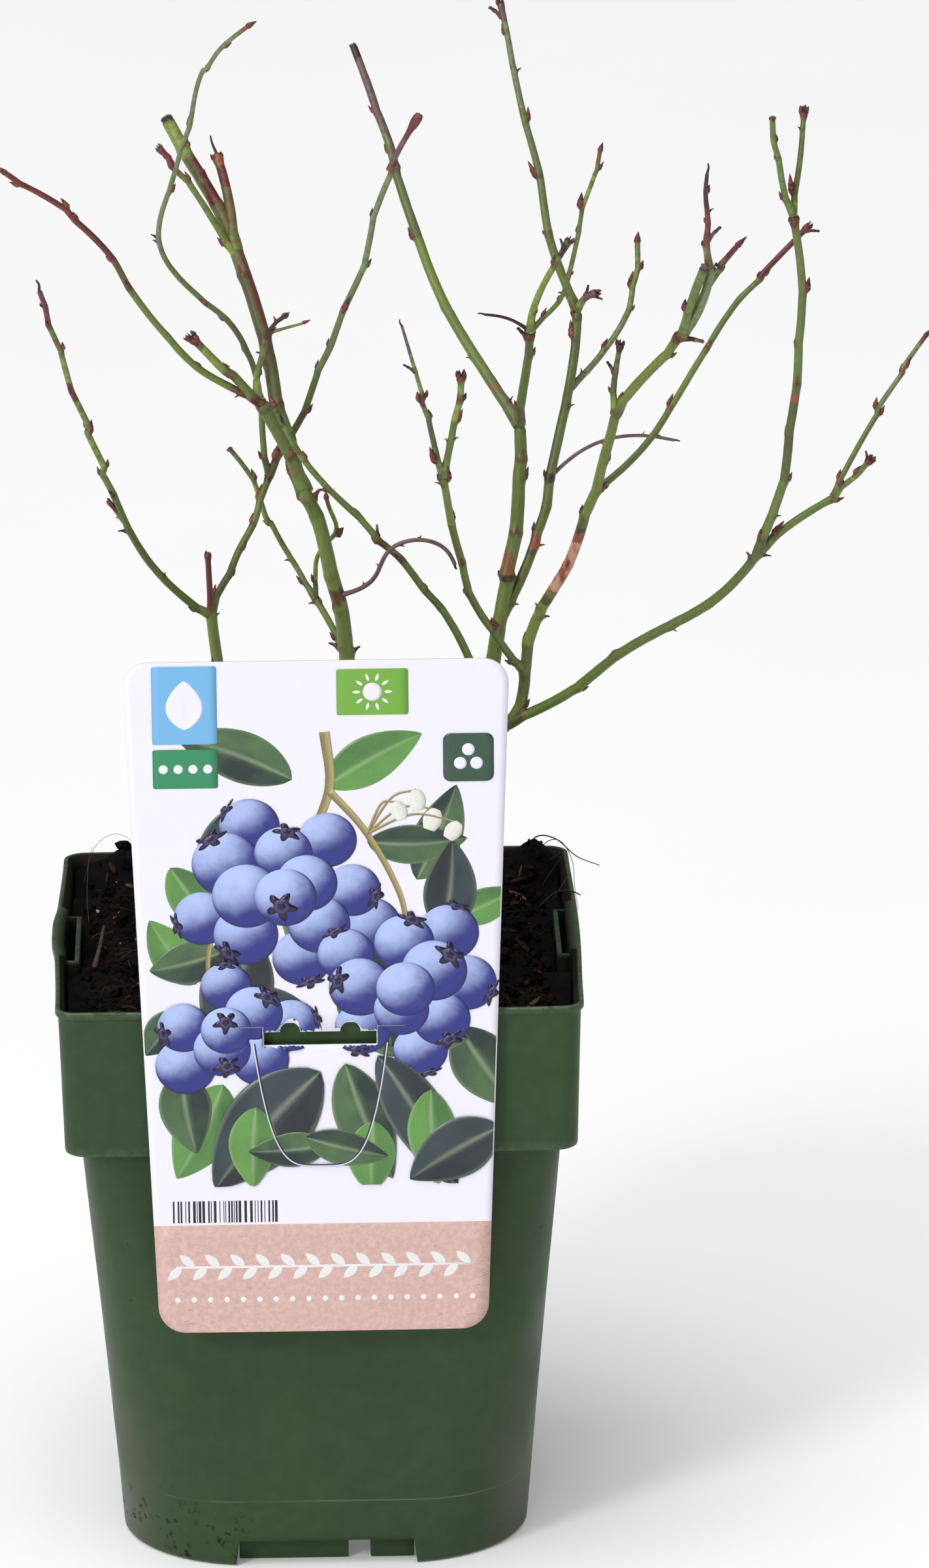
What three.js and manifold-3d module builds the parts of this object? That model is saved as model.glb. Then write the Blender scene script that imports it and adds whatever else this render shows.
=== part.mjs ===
// A young blueberry bush, bare in winter, in a square green nursery pot with a hanging picture card.
// Millimetres, +Z up. The card hangs on the -Y side. The origin is under the middle of the pot,
// on the ground. Three canes rise from a short stem in the compost, boughs fork from the canes,
// and each bough ends in a mass of twigs with buds.
import * as THREE from 'three';
import { mergeVertices } from 'three/addons/utils/BufferGeometryUtils.js';
import Module from 'manifold-3d';

const wasm = await Module();
wasm.setup();

// ---------------------------------------------------------------- driving sizes

const CLEAR = 0.3; // gap kept between neighbouring pieces

const POT = {
  height: 152,
  wall: 1.4,
  rimHalf: 65, // half the pot's width over its lip
  lipHeight: 2,
  lipOut: 0.7,
  lipEase: 0.4, // the lip's edges are eased by this much
  bandHeight: 38, // the wider band under the lip
  bandFootHalf: 63.2,
  bandCorner: 5,
  bandBow: 1, // how far the band's sides bow out in the middle
  bodyTopHalf: 59.4,
  bodyTopCorner: 10,
  bodyFootHalf: 51.2,
  bodyFootCorner: 33,
  levels: [40, 78], // heights of the body's rings between its foot and the band
  footWidth: 6,
  footEase: 1, // the feet's outer edge is eased by this much
  floorRise: 7, // the floor's underside stands this high over the ground
  floorThick: 1.6,
  ledge: 1, // height of the step out from the body to the band
  ledgeInset: 0.6,
  shoulder: 2, // height of the same step on the inside
};
const NOTCH = { topHalf: 22, footHalf: 20 }; // the gap between two corner feet
const INNER_FOOT = { spans: [[-22, 5.5], [11, 22]], setIn: 9.5, thick: 3 }; // the ribs behind a notch
const PAD = { radius: 9, sides: 16 }; // the round foot in the middle, where the origin is
const SUNK = 0.5; // how far feet reach up into the floor they carry

// The card pocket in each side: a channel up through the band, between two thin walls.
const POCKET = { half: 18, outer: 62.9, inner: 60.7, wall: 1.3, proud: 0.6, top: 150 };

const COMPOST = { level: 146.7, lump: 1.3, fine: 0.8, lengths: [7, 9, 4.3], dip: 0.8, calm: [10, 25] };
const COMPOST_RINGS = [1, 0.9, 0.78, 0.64, 0.5, 0.36, 0.22]; // shares of the way out to the wall
const MOUNDS = [[-49, 56], [56, 56]]; // clods in the two far corners
const MOUND = { height: 7.5, radius: 6 };

const CARD = {
  thick: 0.8,
  footZ: 69,
  topZ: 242,
  footHalf: 40.6,
  topHalf: 47,
  corner: 6.5,
  back: -66.3, // its back face, just clear of the lip
};
const SLOT = { half: 13.8, footZ: 143.9, topZ: 147.3, thumb: 2.5, thumbAt: 7.4 };
const HOOK = { half: 13, rimZ: POT.height + CLEAR, footZ: 128, inner: -61.7 };

const GROUND = COMPOST.level + CLEAR; // the flat cut under the short stem
const UNDERGROUND = { half: 30, depth: 20 }; // the block that makes the flat cut
const LIMB = { sides: 6, step: 8.5, fewestSteps: 3, nudge: 0.01 };
const FLARE = { share: 0.45, height: 4 }; // root flare of the short stem
const BUD = {
  radius: 0.75,
  length: 2.6,
  standOut: 0.75, // the share of its length that clears the bark
  lean: 38, // degrees from the limb
  turn: 144, // degrees round the limb from one bud to the next
  scatter: 40,
  spacing: 15,
  shortest: 0.75, // the least share of the spacing
  spread: 0.5,
  margin: 5, // the bare length at each end of a stretch
  spurChance: 0.14,
  spur: 1.7, // how many times longer a spur is
  clear: 2.5, // no bud's tip is nearer than this to another limb
};
const SEED = { first: 71, step: 977 };
const CURVE_STEPS = 24; // points along a limb that are tested for nearness

// Each limb runs straight from its foot to its tip, plus half-waves across it: the first wave is
// its bow, the second its sway, the next ones its ripples. A limb grows on another, a share `at`
// of the way along it. Where `twigs` is set, the limb past that share is the stem of a mass of
// twigs; `twigs: 0` makes the whole limb one, and `fused` limbs are part of that limb's mass.
const LIMBS = [
  { name: 'short_stem', foot: [3, 0, 143], tip: [3, 0, 157], waves: [], radius: [7.5, 5.5] },

  { name: 'left_cane', on: 'short_stem', foot: [-1, 0, 153], tip: [-25.5, -12, 239],
    waves: [[-4, 0, -1], [1, 0, 0]], radius: [1.9, 1.35] },
  { name: 'dead_stub', on: 'left_cane', at: 0.99, tip: [-26, -14, 254.5], waves: [],
    radius: [0.8, 0.7], fused: 'left_cane' },
  { name: 'left_outer', on: 'left_cane', at: 0.985, tip: [-65, -55, 332],
    waves: [[-6.5, 0, -3.5], [-1.5, 0, -1.5], [-0.5, 0, -0.5]], radius: [1, 0.65], twigs: 0.48 },
  { name: 'left_outer_spur', on: 'left_outer', at: 0.55, tip: [-57.5, -38, 290], waves: [],
    radius: [0.6, 0.45], fused: 'left_outer' },
  { name: 'left_inner', on: 'left_cane', at: 0.985, tip: [-10.5, 4, 269], waves: [[0.5, 0, 0], [-0.5, 0, 0]],
    radius: [0.95, 0.85] },
  { name: 'left_top', on: 'left_inner', at: 1, tip: [-14, -30, 390.5],
    waves: [[-19, 4, 2.5], [6, 0, 0], [3, -0.5, 2], [0.5, 0, -0.5], [-2, 0, 0]], radius: [0.8, 0.55],
    twigs: 0.5 },
  { name: 'left_crossing', on: 'left_inner', at: 1, tip: [27.5, -6, 362.5],
    waves: [[1, 0, -0.5], [1, 0, -0.5], [-0.5, 0, 0], [0.5, 0, 0]], radius: [0.9, 0.7], twigs: 0.57 },

  { name: 'middle_cane', on: 'short_stem', foot: [4, -2, 153], tip: [-12.5, -14, 293],
    waves: [[13, 0, 1.5], [-0.5, 0, -0.5], [0.5, 0, 0]], radius: [2.3, 1.6] },
  { name: 'far_left', on: 'middle_cane', at: 1, tip: [-73, -38, 357],
    waves: [[-0.5, 0, -0.5], [-2.5, 0, -2.5]], radius: [0.95, 0.7], twigs: 0.78 },
  { name: 'short_left', on: 'middle_cane', at: 0.995, tip: [-29, -22, 311.5], waves: [],
    radius: [1.2, 0.95], twigs: 0 },
  { name: 'middle_spur', on: 'middle_cane', at: 1, tip: [-6, -20, 316],
    waves: [[-3, 0, 1], [0.5, 0, -0.5], [-0.5, 0, 0]], radius: [1, 0.4], twigs: 0 },
  { name: 'middle_top', on: 'middle_cane', at: 0.82, tip: [-35, 42, 351.5],
    waves: [[4, 0, 1.5], [-1, 0, -0.5], [-0.5, 0, 0]], radius: [1.65, 1.4], twigs: 0.66 },
  { name: 'middle_top_left', on: 'middle_top', at: 0.68, tip: [-37, 24, 349], waves: [[-0.5, 0, -0.5]],
    radius: [0.75, 0.6], fused: 'middle_top' },
  { name: 'middle_top_right', on: 'middle_top', at: 0.735, tip: [-23, 38, 349], waves: [[-0.5, 0, 0]],
    radius: [0.85, 0.4], fused: 'middle_top' },
  { name: 'back_thin', on: 'middle_cane', at: 0.51, tip: [0.5, 2, 237.5], waves: [[0.5, 0, 0]],
    radius: [0.9, 0.8] },
  { name: 'back_left', on: 'back_thin', at: 1, tip: [-20.5, 14, 273.5],
    waves: [[0, 1.5, -0.5], [-0.5, 0, 0], [0.5, 0, 0]], radius: [0.75, 0.6], twigs: 0 },
  { name: 'back_up', on: 'back_thin', at: 1, tip: [3.5, -14, 268],
    waves: [[1.5, 2.5, 1], [-1.5, 0.5, 0.5], [0, 0, 0], [0.5, 0, 0]], radius: [0.6, 0.55], twigs: 0 },
  { name: 'curled_dead', on: 'middle_cane', at: 0.62, tip: [35, -20, 252],
    waves: [[-1, -5.5, 8.5], [0.5, 0.5, -3.5], [1.5, 0.5, 0], [-0.5, 0, 0]], radius: [0.6, 0.5], twigs: 0 },

  { name: 'right_cane', on: 'short_stem', foot: [9, 2, 153], tip: [52, 12, 279],
    waves: [[12.5, -3.5, -4], [0.5, 0, -0.5], [-0.5, 0.5, 0.5], [-1, 0, 0.5]], radius: [2.5, 1.5] },
  { name: 'front_thin', on: 'right_cane', at: 0.44, tip: [-9, -20, 293],
    waves: [[7, -7.5, 1.5], [3, 1, 1], [0, 0, -0.5], [0.5, 0, 0]], radius: [1.1, 0.7], twigs: 0.79 },
  { name: 'tall_left', on: 'right_cane', at: 1, tip: [12, 62, 365],
    waves: [[-4, 0, -2], [-1, 0, -0.5], [0.5, 0, 0]], radius: [1.45, 0.95], twigs: 0.68 },
  { name: 'fork', on: 'right_cane', at: 1, tip: [54.5, 4, 305], waves: [], radius: [1.15, 1.05] },
  { name: 'fork_twig', on: 'fork', at: 1, tip: [64, -4, 330], waves: [[-1.5, 0, 0.5]], radius: [0.95, 0.7],
    twigs: 0 },
  { name: 'fork_thin', on: 'fork', at: 1, tip: [71.5, -10, 354],
    waves: [[3, 0, -1.5], [1.5, 0, -0.5], [0.5, 0, 0]], radius: [0.65, 0.55], fused: 'fork_twig' },
  { name: 'fork_dead', on: 'fork', at: 1, tip: [43, 0, 310.5], waves: [[0.5, 0, 1]], radius: [0.45, 0.35],
    fused: 'fork_twig' },
  { name: 'tall', on: 'right_cane', at: 0.64, tip: [67, 28, 304],
    waves: [[4, 0, -1.5], [0.5, 0, -0.5], [0.5, 0, 0]], radius: [1.3, 1.15] },
  { name: 'tall_upper', on: 'tall', at: 1, tip: [49, 54, 377],
    waves: [[-1.5, 0, -0.5], [-0.5, 0, 0], [-0.5, 0, 0]], radius: [1.15, 0.7], twigs: 0.59 },
  { name: 'tall_short', on: 'tall', at: 1, tip: [72, 24, 309.5], waves: [[-0.5, 0, 1]], radius: [0.85, 0.75],
    twigs: 0 },
  { name: 'right_back', on: 'tall', at: 0.75, tip: [83, 50, 316], waves: [[4.5, 0, -2.5], [-0.5, 0, -0.5]],
    radius: [0.85, 0.7], twigs: 0 },
  { name: 'long_dead', on: 'tall', at: 0.475, tip: [91.5, 32, 269], waves: [[-1, 0.5, 5], [-0.5, 0, 0]],
    radius: [0.5, 0.4], twigs: 0 },

  { name: 'right_middle', on: 'right_cane', at: 0.4, tip: [74.5, -24, 291],
    waves: [[4, 3.5, -2], [0.5, 0, -1], [1.5, -0.5, -1], [1, 0, -1], [0.5, 0, -0.5]], radius: [1.5, 1.2] },
  { name: 'centre', on: 'right_middle', at: 0.255, tip: [32, -34, 278.5],
    waves: [[-4.5, 0, -1.5], [-0.5, 0, -0.5]], radius: [1, 0.95] },
  { name: 'centre_twig', on: 'centre', at: 1, tip: [22, -46, 320], waves: [],
    radius: [0.85, 0.35], twigs: 0 },
  { name: 'centre_side', on: 'centre', at: 1, tip: [36.5, -38, 305], waves: [[0.5, 0, 0]], radius: [0.9, 0.8],
    fused: 'centre_twig' },
  { name: 'long_right', on: 'right_middle', at: 0.775, tip: [124, 12, 329],
    waves: [[0, 0, 0], [1.5, 0, -1.5], [0.5, 0, -0.5]], radius: [0.9, 0.7], twigs: 0.77 },
  { name: 'right_spur', on: 'right_middle', at: 1, tip: [75.5, -31, 310.5], waves: [[-0.5, 0, 0]],
    radius: [0.9, 0.6], twigs: 0 },
  { name: 'right_upper', on: 'right_middle', at: 1, tip: [97, -46, 333.5],
    waves: [[2.5, 0, -1], [-1, 0, 0.5]], radius: [1.2, 1.1], twigs: 0.55 },
  { name: 'right_upper_tall', on: 'right_upper', at: 0.96, tip: [95.5, -54, 358.5], waves: [[-0.5, 0, 0]],
    radius: [0.95, 0.45], fused: 'right_upper' },
  { name: 'right_upper_side', on: 'right_upper', at: 0.65, tip: [103.5, -40, 337], waves: [[-1, 0, 0.5]],
    radius: [0.95, 0.7], fused: 'right_upper' },
  { name: 'low_arch', on: 'right_middle', at: 0.11, tip: [110, -28, 257],
    waves: [[1.5, 0, -2.5], [-0.5, 0, 0.5], [0.5, 0, -1]], radius: [1.3, 1.15] },
  { name: 'low_arch_outer', on: 'low_arch', at: 1, tip: [128, -24, 269], waves: [[-0.5, 0, 0.5]],
    radius: [1.05, 0.9] },
  { name: 'low_arch_twig', on: 'low_arch_outer', at: 1, tip: [152.5, 4, 302.5], waves: [[-1, 0, 0.5]],
    radius: [0.75, 0.6], twigs: 0 },
  { name: 'low_arch_side', on: 'low_arch_outer', at: 1, tip: [136.5, -34, 281.5], waves: [],
    radius: [0.8, 0.7], fused: 'low_arch_twig' },
  { name: 'far_right', on: 'low_arch', at: 0.985, tip: [116.5, -48, 346.5],
    waves: [[5.5, 0, -0.5], [0, 0, 0], [0.5, 0, 0]], radius: [1.2, 0.95] },
  { name: 'far_right_twig', on: 'far_right', at: 1, tip: [111, -56, 372.5], waves: [[-1, 0, 0]],
    radius: [0.8, 0.7], twigs: 0 },
  { name: 'far_right_side', on: 'far_right', at: 1, tip: [119.5, -40, 370], waves: [[0.5, 0, 0]],
    radius: [0.8, 0.6], fused: 'far_right_twig' },
];

// ---------------------------------------------------------------- materials

/** A plain surface in one colour. */
function finish(color, roughness) {
  return new THREE.MeshStandardMaterial({ color, roughness, metalness: 0 });
}

const FINISH = {
  pot: finish(0x3c5437, 0.45),
  compost: finish(0x1d1613, 0.98),
  card: finish(0xf2f0fa, 0.4),
  cane: finish(0x5f7a38, 0.5),
  bough: finish(0x6b8541, 0.5),
  twigs: finish(0x7a4a3c, 0.6),
};

// ---------------------------------------------------------------- solids from meshes

/** Turns a closed geometry into a solid that can be joined and cut. */
function solid(geometry) {
  const bare = geometry.clone();
  bare.deleteAttribute('normal');
  bare.deleteAttribute('uv');
  const merged = mergeVertices(bare, 1e-4);
  return new wasm.Manifold(new wasm.Mesh({
    numProp: 3,
    vertProperties: merged.attributes.position.array,
    triVerts: Uint32Array.from(merged.index.array),
  }));
}

/** Turns a solid back into a geometry. */
function geometryOf(body) {
  const mesh = body.getMesh();
  const geometry = new THREE.BufferGeometry();
  geometry.setAttribute('position', new THREE.Float32BufferAttribute(mesh.vertProperties, 3));
  geometry.setIndex(new THREE.Uint32BufferAttribute(mesh.triVerts, 1));
  geometry.computeVertexNormals();
  return geometry;
}

/** A closed surface through rings with the same number of points, with a fan over each end. */
function loft(rings) {
  const count = rings[0].length;
  const points = rings.flat();
  const faces = [];
  for (let level = 0; level < rings.length - 1; level += 1) {
    for (let i = 0; i < count; i += 1) {
      const here = level * count + i;
      const next = level * count + ((i + 1) % count);
      faces.push(here, next, next + count, here, next + count, here + count);
    }
  }
  const foot = points.push(middle(rings[0])) - 1;
  const head = points.push(middle(rings.at(-1))) - 1;
  const last = (rings.length - 1) * count;
  for (let i = 0; i < count; i += 1) {
    const next = (i + 1) % count;
    faces.push(foot, next, i, head, last + i, last + next);
  }
  const geometry = new THREE.BufferGeometry().setFromPoints(points);
  geometry.setIndex(faces);
  return geometry;
}

/** The mean of a ring's points. */
function middle(ring) {
  const sum = ring.reduce((total, point) => total.add(point), new THREE.Vector3());
  return sum.divideScalar(ring.length);
}

/** A solid block between its lowest and highest corners. */
function block(low, high) {
  const geometry = new THREE.BoxGeometry(high[0] - low[0], high[1] - low[1], high[2] - low[2]);
  geometry.translate((low[0] + high[0]) / 2, (low[1] + high[1]) / 2, (low[2] + high[2]) / 2);
  return solid(geometry);
}

/** The same solid on all four sides of the pot. */
function onFourSides(body) {
  return wasm.Manifold.union([0, 90, 180, 270].map((turn) => body.rotate([0, 0, turn])));
}

/** A named mesh for a solid. */
function piece(name, body, material) {
  const mesh = new THREE.Mesh(geometryOf(body), material);
  mesh.name = name;
  return mesh;
}

// ---------------------------------------------------------------- pot

const UP = new THREE.Vector3(0, 0, 1);
const SIDE_STEPS = 6;
const CORNER_STEPS = 5;

/** A level square outline with round corners, anticlockwise, whose sides bow out. */
function squareRing(half, corner, z, bow = 0) {
  const ring = [];
  const straight = half - corner;
  for (let side = 0; side < 4; side += 1) {
    const turned = (x, y) => new THREE.Vector3(x, y, z).applyAxisAngle(UP, (side * Math.PI) / 2);
    for (let i = 0; i <= SIDE_STEPS; i += 1) {
      const along = straight * ((2 * i) / SIDE_STEPS - 1);
      const out = half + bow * Math.cos((Math.PI * along) / (2 * half)) ** 2;
      ring.push(turned(along, -out));
    }
    for (let i = 1; i < CORNER_STEPS; i += 1) {
      const angle = (Math.PI / 2) * (i / CORNER_STEPS - 1);
      ring.push(turned(straight + corner * Math.cos(angle), -straight + corner * Math.sin(angle)));
    }
  }
  return ring;
}

const SKIN = 0.1; // a cut that must not touch the floor stops this far short
const BAND_FOOT = POT.height - POT.bandHeight;
const BAND_TOP = POT.height - POT.lipHeight;

/** The body's half width and corner radius at a height. */
function bodySection(z) {
  const share = z / BAND_FOOT;
  return [
    THREE.MathUtils.lerp(POT.bodyFootHalf, POT.bodyTopHalf, share),
    THREE.MathUtils.lerp(POT.bodyFootCorner, POT.bodyTopCorner, share),
  ];
}

/** The band's half width and corner radius at a height. */
function bandSection(z) {
  const share = (z - BAND_FOOT) / (BAND_TOP - BAND_FOOT);
  return [THREE.MathUtils.lerp(POT.bandFootHalf, POT.rimHalf - POT.lipOut, share), POT.bandCorner];
}

/** A ring at a height, on one of the two sections, set in by a distance. */
function wallRing(section, z, inset = 0, ringZ = z) {
  const [half, corner] = section(z);
  const bow = section === bandSection ? POT.bandBow : 0;
  return squareRing(half - inset, corner - inset, ringZ, bow);
}

/** The gap between two corner feet, cut through the foot from the -Y side. */
function footNotch() {
  const outline = new THREE.Shape([
    new THREE.Vector2(-NOTCH.footHalf, -1),
    new THREE.Vector2(NOTCH.footHalf, -1),
    new THREE.Vector2(NOTCH.topHalf, POT.floorRise - SKIN),
    new THREE.Vector2(-NOTCH.topHalf, POT.floorRise - SKIN),
  ]);
  const geometry = new THREE.ExtrudeGeometry(outline, { depth: 2 * POT.footWidth, bevelEnabled: false });
  geometry.rotateX(Math.PI / 2);
  geometry.translate(0, -POT.bodyFootHalf + 1.5 * POT.footWidth, 0);
  return solid(geometry);
}

/** Short ribs behind a notch, which carry the floor between the corner feet. */
function innerFeet() {
  const front = -POT.bodyFootHalf + INNER_FOOT.setIn;
  const [one, two] = INNER_FOOT.spans.map(([from, to]) => (
    block([from, front, 0], [to, front + INNER_FOOT.thick, POT.floorRise + SUNK])
  ));
  return one.add(two);
}

/** The block that a card pocket is cut from. */
function pocketBlock(grow = 0) {
  const half = POCKET.half + grow;
  return block(
    [-half, -POCKET.outer - POCKET.proud - grow, BAND_FOOT + POT.ledge],
    [half, -POCKET.inner + POCKET.wall + grow, POCKET.top + grow],
  );
}

/** The channel through a card pocket, open above and below. */
function pocketChannel() {
  const half = POCKET.half - POCKET.wall;
  return block([-half, -POCKET.outer, BAND_FOOT - POCKET.wall], [half, -POCKET.inner, POT.height]);
}

/** The pot: one wall from the feet up the outside, over the lip and down to the inner floor. */
function makePot() {
  const foot = POT.bodyFootHalf;
  const footCorner = POT.bodyFootCorner;
  const inFoot = foot - POT.footWidth;
  const inCorner = footCorner - POT.footWidth;
  const lipCorner = POT.bandCorner + POT.lipEase;
  const floorTop = POT.floorRise + POT.floorThick;
  const shell = solid(loft([
    squareRing(inFoot, inCorner, POT.floorRise),
    squareRing(inFoot, inCorner, 0),
    squareRing(foot - POT.footEase, footCorner - POT.footEase, 0),
    ...[POT.footEase, ...POT.levels, BAND_FOOT - SKIN].map((z) => wallRing(bodySection, z)),
    wallRing(bandSection, BAND_FOOT, POT.ledgeInset),
    wallRing(bandSection, BAND_FOOT + POT.ledge),
    wallRing(bandSection, BAND_TOP),
    squareRing(POT.rimHalf, lipCorner, BAND_TOP + POT.lipEase, POT.bandBow),
    squareRing(POT.rimHalf, lipCorner, POT.height - POT.lipEase, POT.bandBow),
    squareRing(POT.rimHalf - POT.lipEase, POT.bandCorner, POT.height, POT.bandBow),
    wallRing(bandSection, BAND_TOP, POT.wall, POT.height),
    wallRing(bandSection, BAND_FOOT + POT.shoulder, POT.wall),
    wallRing(bodySection, BAND_FOOT, POT.wall, BAND_FOOT + POT.shoulder - CLEAR),
    ...[...POT.levels].reverse().map((z) => wallRing(bodySection, z, POT.wall)),
    wallRing(bodySection, floorTop, POT.wall),
  ]));
  const padHeight = POT.floorRise + SUNK;
  const pad = new THREE.CylinderGeometry(PAD.radius, PAD.radius, padHeight, PAD.sides);
  pad.rotateX(Math.PI / 2);
  pad.translate(0, 0, padHeight / 2);
  return shell
    .subtract(onFourSides(footNotch()))
    .add(onFourSides(innerFeet()))
    .add(solid(pad))
    .add(onFourSides(pocketBlock()))
    .subtract(onFourSides(pocketChannel()));
}

// ---------------------------------------------------------------- compost

/** The height of the compost's lumpy top, which lies flat round the short stem. */
function compostHeight(x, y) {
  const [stemX, stemY] = LIMBS[0].foot;
  const [long, wide, short] = COMPOST.lengths;
  const fromStem = Math.hypot(x - stemX, y - stemY);
  const calm = THREE.MathUtils.smoothstep(fromStem, ...COMPOST.calm);
  const coarse = COMPOST.lump * Math.sin(x / long + 1) * Math.cos(y / wide);
  const fine = COMPOST.fine * Math.sin((x + y) / short);
  let height = COMPOST.level + calm * (coarse + fine - COMPOST.dip);
  for (const [moundX, moundY] of MOUNDS) {
    const away = Math.hypot(x - moundX, y - moundY) / MOUND.radius;
    height += MOUND.height * Math.exp(-away * away);
  }
  return height;
}

/** The compost fills the pot to just under the lip, clear of the walls and the pockets. */
function makeCompost() {
  const inset = POT.wall + CLEAR;
  const floor = POT.floorRise + POT.floorThick;
  const shoulder = BAND_FOOT + POT.shoulder;
  const edge = wallRing(bandSection, COMPOST.level, inset);
  const rings = [
    ...[floor + CLEAR, ...POT.levels].map((z) => wallRing(bodySection, z, inset)),
    wallRing(bodySection, BAND_FOOT, inset, shoulder),
    wallRing(bandSection, shoulder, inset, shoulder + CLEAR),
  ];
  for (const share of COMPOST_RINGS) {
    rings.push(edge.map((point) => {
      const x = point.x * share;
      const y = point.y * share;
      return new THREE.Vector3(x, y, compostHeight(x, y));
    }));
  }
  return solid(loft(rings)).subtract(onFourSides(pocketBlock(CLEAR)));
}

// ---------------------------------------------------------------- card

/** The card's front outline: a tall shape, wider at the top, with round corners and a slot. */
function cardShape() {
  const { footHalf, topHalf, footZ, topZ, corner } = CARD;
  const shape = new THREE.Shape();
  shape.moveTo(-footHalf + corner, footZ);
  shape.lineTo(footHalf - corner, footZ);
  shape.absarc(footHalf - corner, footZ + corner, corner, -Math.PI / 2, 0);
  shape.lineTo(topHalf, topZ - corner);
  shape.absarc(topHalf - corner, topZ - corner, corner, 0, Math.PI / 2);
  shape.lineTo(-topHalf + corner, topZ);
  shape.absarc(-topHalf + corner, topZ - corner, corner, Math.PI / 2, Math.PI);
  shape.lineTo(-footHalf, footZ + corner);
  shape.absarc(-footHalf + corner, footZ + corner, corner, Math.PI, 1.5 * Math.PI);
  const slot = new THREE.Path();
  slot.moveTo(-SLOT.half, SLOT.footZ);
  slot.lineTo(SLOT.half, SLOT.footZ);
  slot.lineTo(SLOT.half, SLOT.topZ);
  for (const at of [SLOT.thumbAt, -SLOT.thumbAt]) {
    slot.lineTo(at + SLOT.thumb, SLOT.topZ);
    slot.absarc(at, SLOT.topZ, SLOT.thumb, 0, Math.PI);
  }
  slot.lineTo(-SLOT.half, SLOT.topZ);
  shape.holes.push(slot);
  return shape;
}

/** The card, with a hook on its back that goes over the lip and down into the front pocket. */
function makeCard() {
  const depth = CARD.thick;
  const sheet = new THREE.ExtrudeGeometry(cardShape(), { depth, bevelEnabled: false, curveSegments: 5 });
  sheet.rotateX(Math.PI / 2);
  sheet.translate(0, CARD.back, 0);
  const { half, rimZ, footZ, inner } = HOOK;
  const over = block([-half, CARD.back - depth / 2, rimZ], [half, inner, rimZ + depth]);
  const down = block([-half, inner - depth, footZ], [half, inner, rimZ + depth]);
  return solid(sheet).add(over).add(down);
}

// ---------------------------------------------------------------- bush

/** A limb's centre line: straight from foot to tip, plus half-waves across it. */
class LimbCurve extends THREE.Curve {
  constructor(foot, tip, waves) {
    super();
    this.foot = foot;
    this.tip = tip;
    this.waves = waves;
  }

  getPoint(share, target = new THREE.Vector3()) {
    target.lerpVectors(this.foot, this.tip, share);
    this.waves.forEach((wave, i) => {
      target.addScaledVector(wave, Math.sin((i + 1) * Math.PI * share));
    });
    return target;
  }
}

/** A repeatable source of numbers from 0 to 1. */
function seededRandom(seed) {
  let state = seed;
  return () => {
    state = (Math.imul(state, 1664525) + 1013904223) >>> 0;
    return state / 4294967296;
  };
}

/** Works out every limb's curve and length from the table, in the order of growth. */
function growLimbs() {
  const limbs = new Map();
  LIMBS.forEach((row, i) => {
    const foot = row.foot ? new THREE.Vector3(...row.foot) : limbs.get(row.on).curve.getPoint(row.at);
    const waves = row.waves.map((wave) => new THREE.Vector3(...wave));
    const curve = new LimbCurve(foot, new THREE.Vector3(...row.tip), waves);
    limbs.set(row.name, { ...row, curve, length: curve.getLength(), seed: SEED.first + SEED.step * i });
  });
  return limbs;
}

/** A limb's radius a share of the way along it, with the root flare where it meets the ground. */
function radiusAt(limb, share) {
  const radius = THREE.MathUtils.lerp(limb.radius[0], limb.radius[1], THREE.MathUtils.clamp(share, 0, 1));
  if (limb.on) return radius;
  const height = limb.curve.getPoint(share).z - GROUND;
  return radius * (1 + FLARE.share * Math.exp(-Math.max(height, 0) / FLARE.height));
}

/** Two directions square to a limb at a share of its length. */
function across(limb, share) {
  const ahead = limb.curve.getPoint(share + LIMB.nudge);
  const along = ahead.sub(limb.curve.getPoint(share - LIMB.nudge)).normalize();
  const first = new THREE.Vector3().crossVectors(along, new THREE.Vector3(0, 1, 0)).normalize();
  const second = new THREE.Vector3().crossVectors(along, first);
  return { along, first, second };
}

/** The tapering round of a limb between two shares of its length, grown by a margin all over. */
function limbSolid(limb, from, to, grow) {
  const start = from - grow / limb.length;
  const end = to + grow / limb.length;
  const steps = Math.max(LIMB.fewestSteps, Math.round(((end - start) * limb.length) / LIMB.step));
  const rings = [];
  for (let i = 0; i <= steps; i += 1) {
    const share = THREE.MathUtils.lerp(start, end, i / steps);
    const { first, second } = across(limb, share);
    const centre = limb.curve.getPoint(share);
    const radius = radiusAt(limb, share) + grow;
    const sides = limb.on ? LIMB.sides : 2 * LIMB.sides;
    rings.push(Array.from({ length: sides }, (_, side) => {
      const angle = (2 * Math.PI * side) / sides;
      return centre.clone()
        .addScaledVector(first, radius * Math.cos(angle))
        .addScaledVector(second, radius * Math.sin(angle));
    }));
  }
  return solid(loft(rings));
}

/** A four-sided bud whose root is sunk to the middle of its limb. */
function budSolid(root, direction, length, grow) {
  const radius = BUD.radius + grow;
  const geometry = new THREE.ConeGeometry(radius, length + grow, 4);
  geometry.translate(0, (length + grow) / 2, 0);
  geometry.applyQuaternion(new THREE.Quaternion().setFromUnitVectors(new THREE.Vector3(0, 1, 0), direction));
  geometry.translate(root.x, root.y, root.z);
  return solid(geometry);
}

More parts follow.
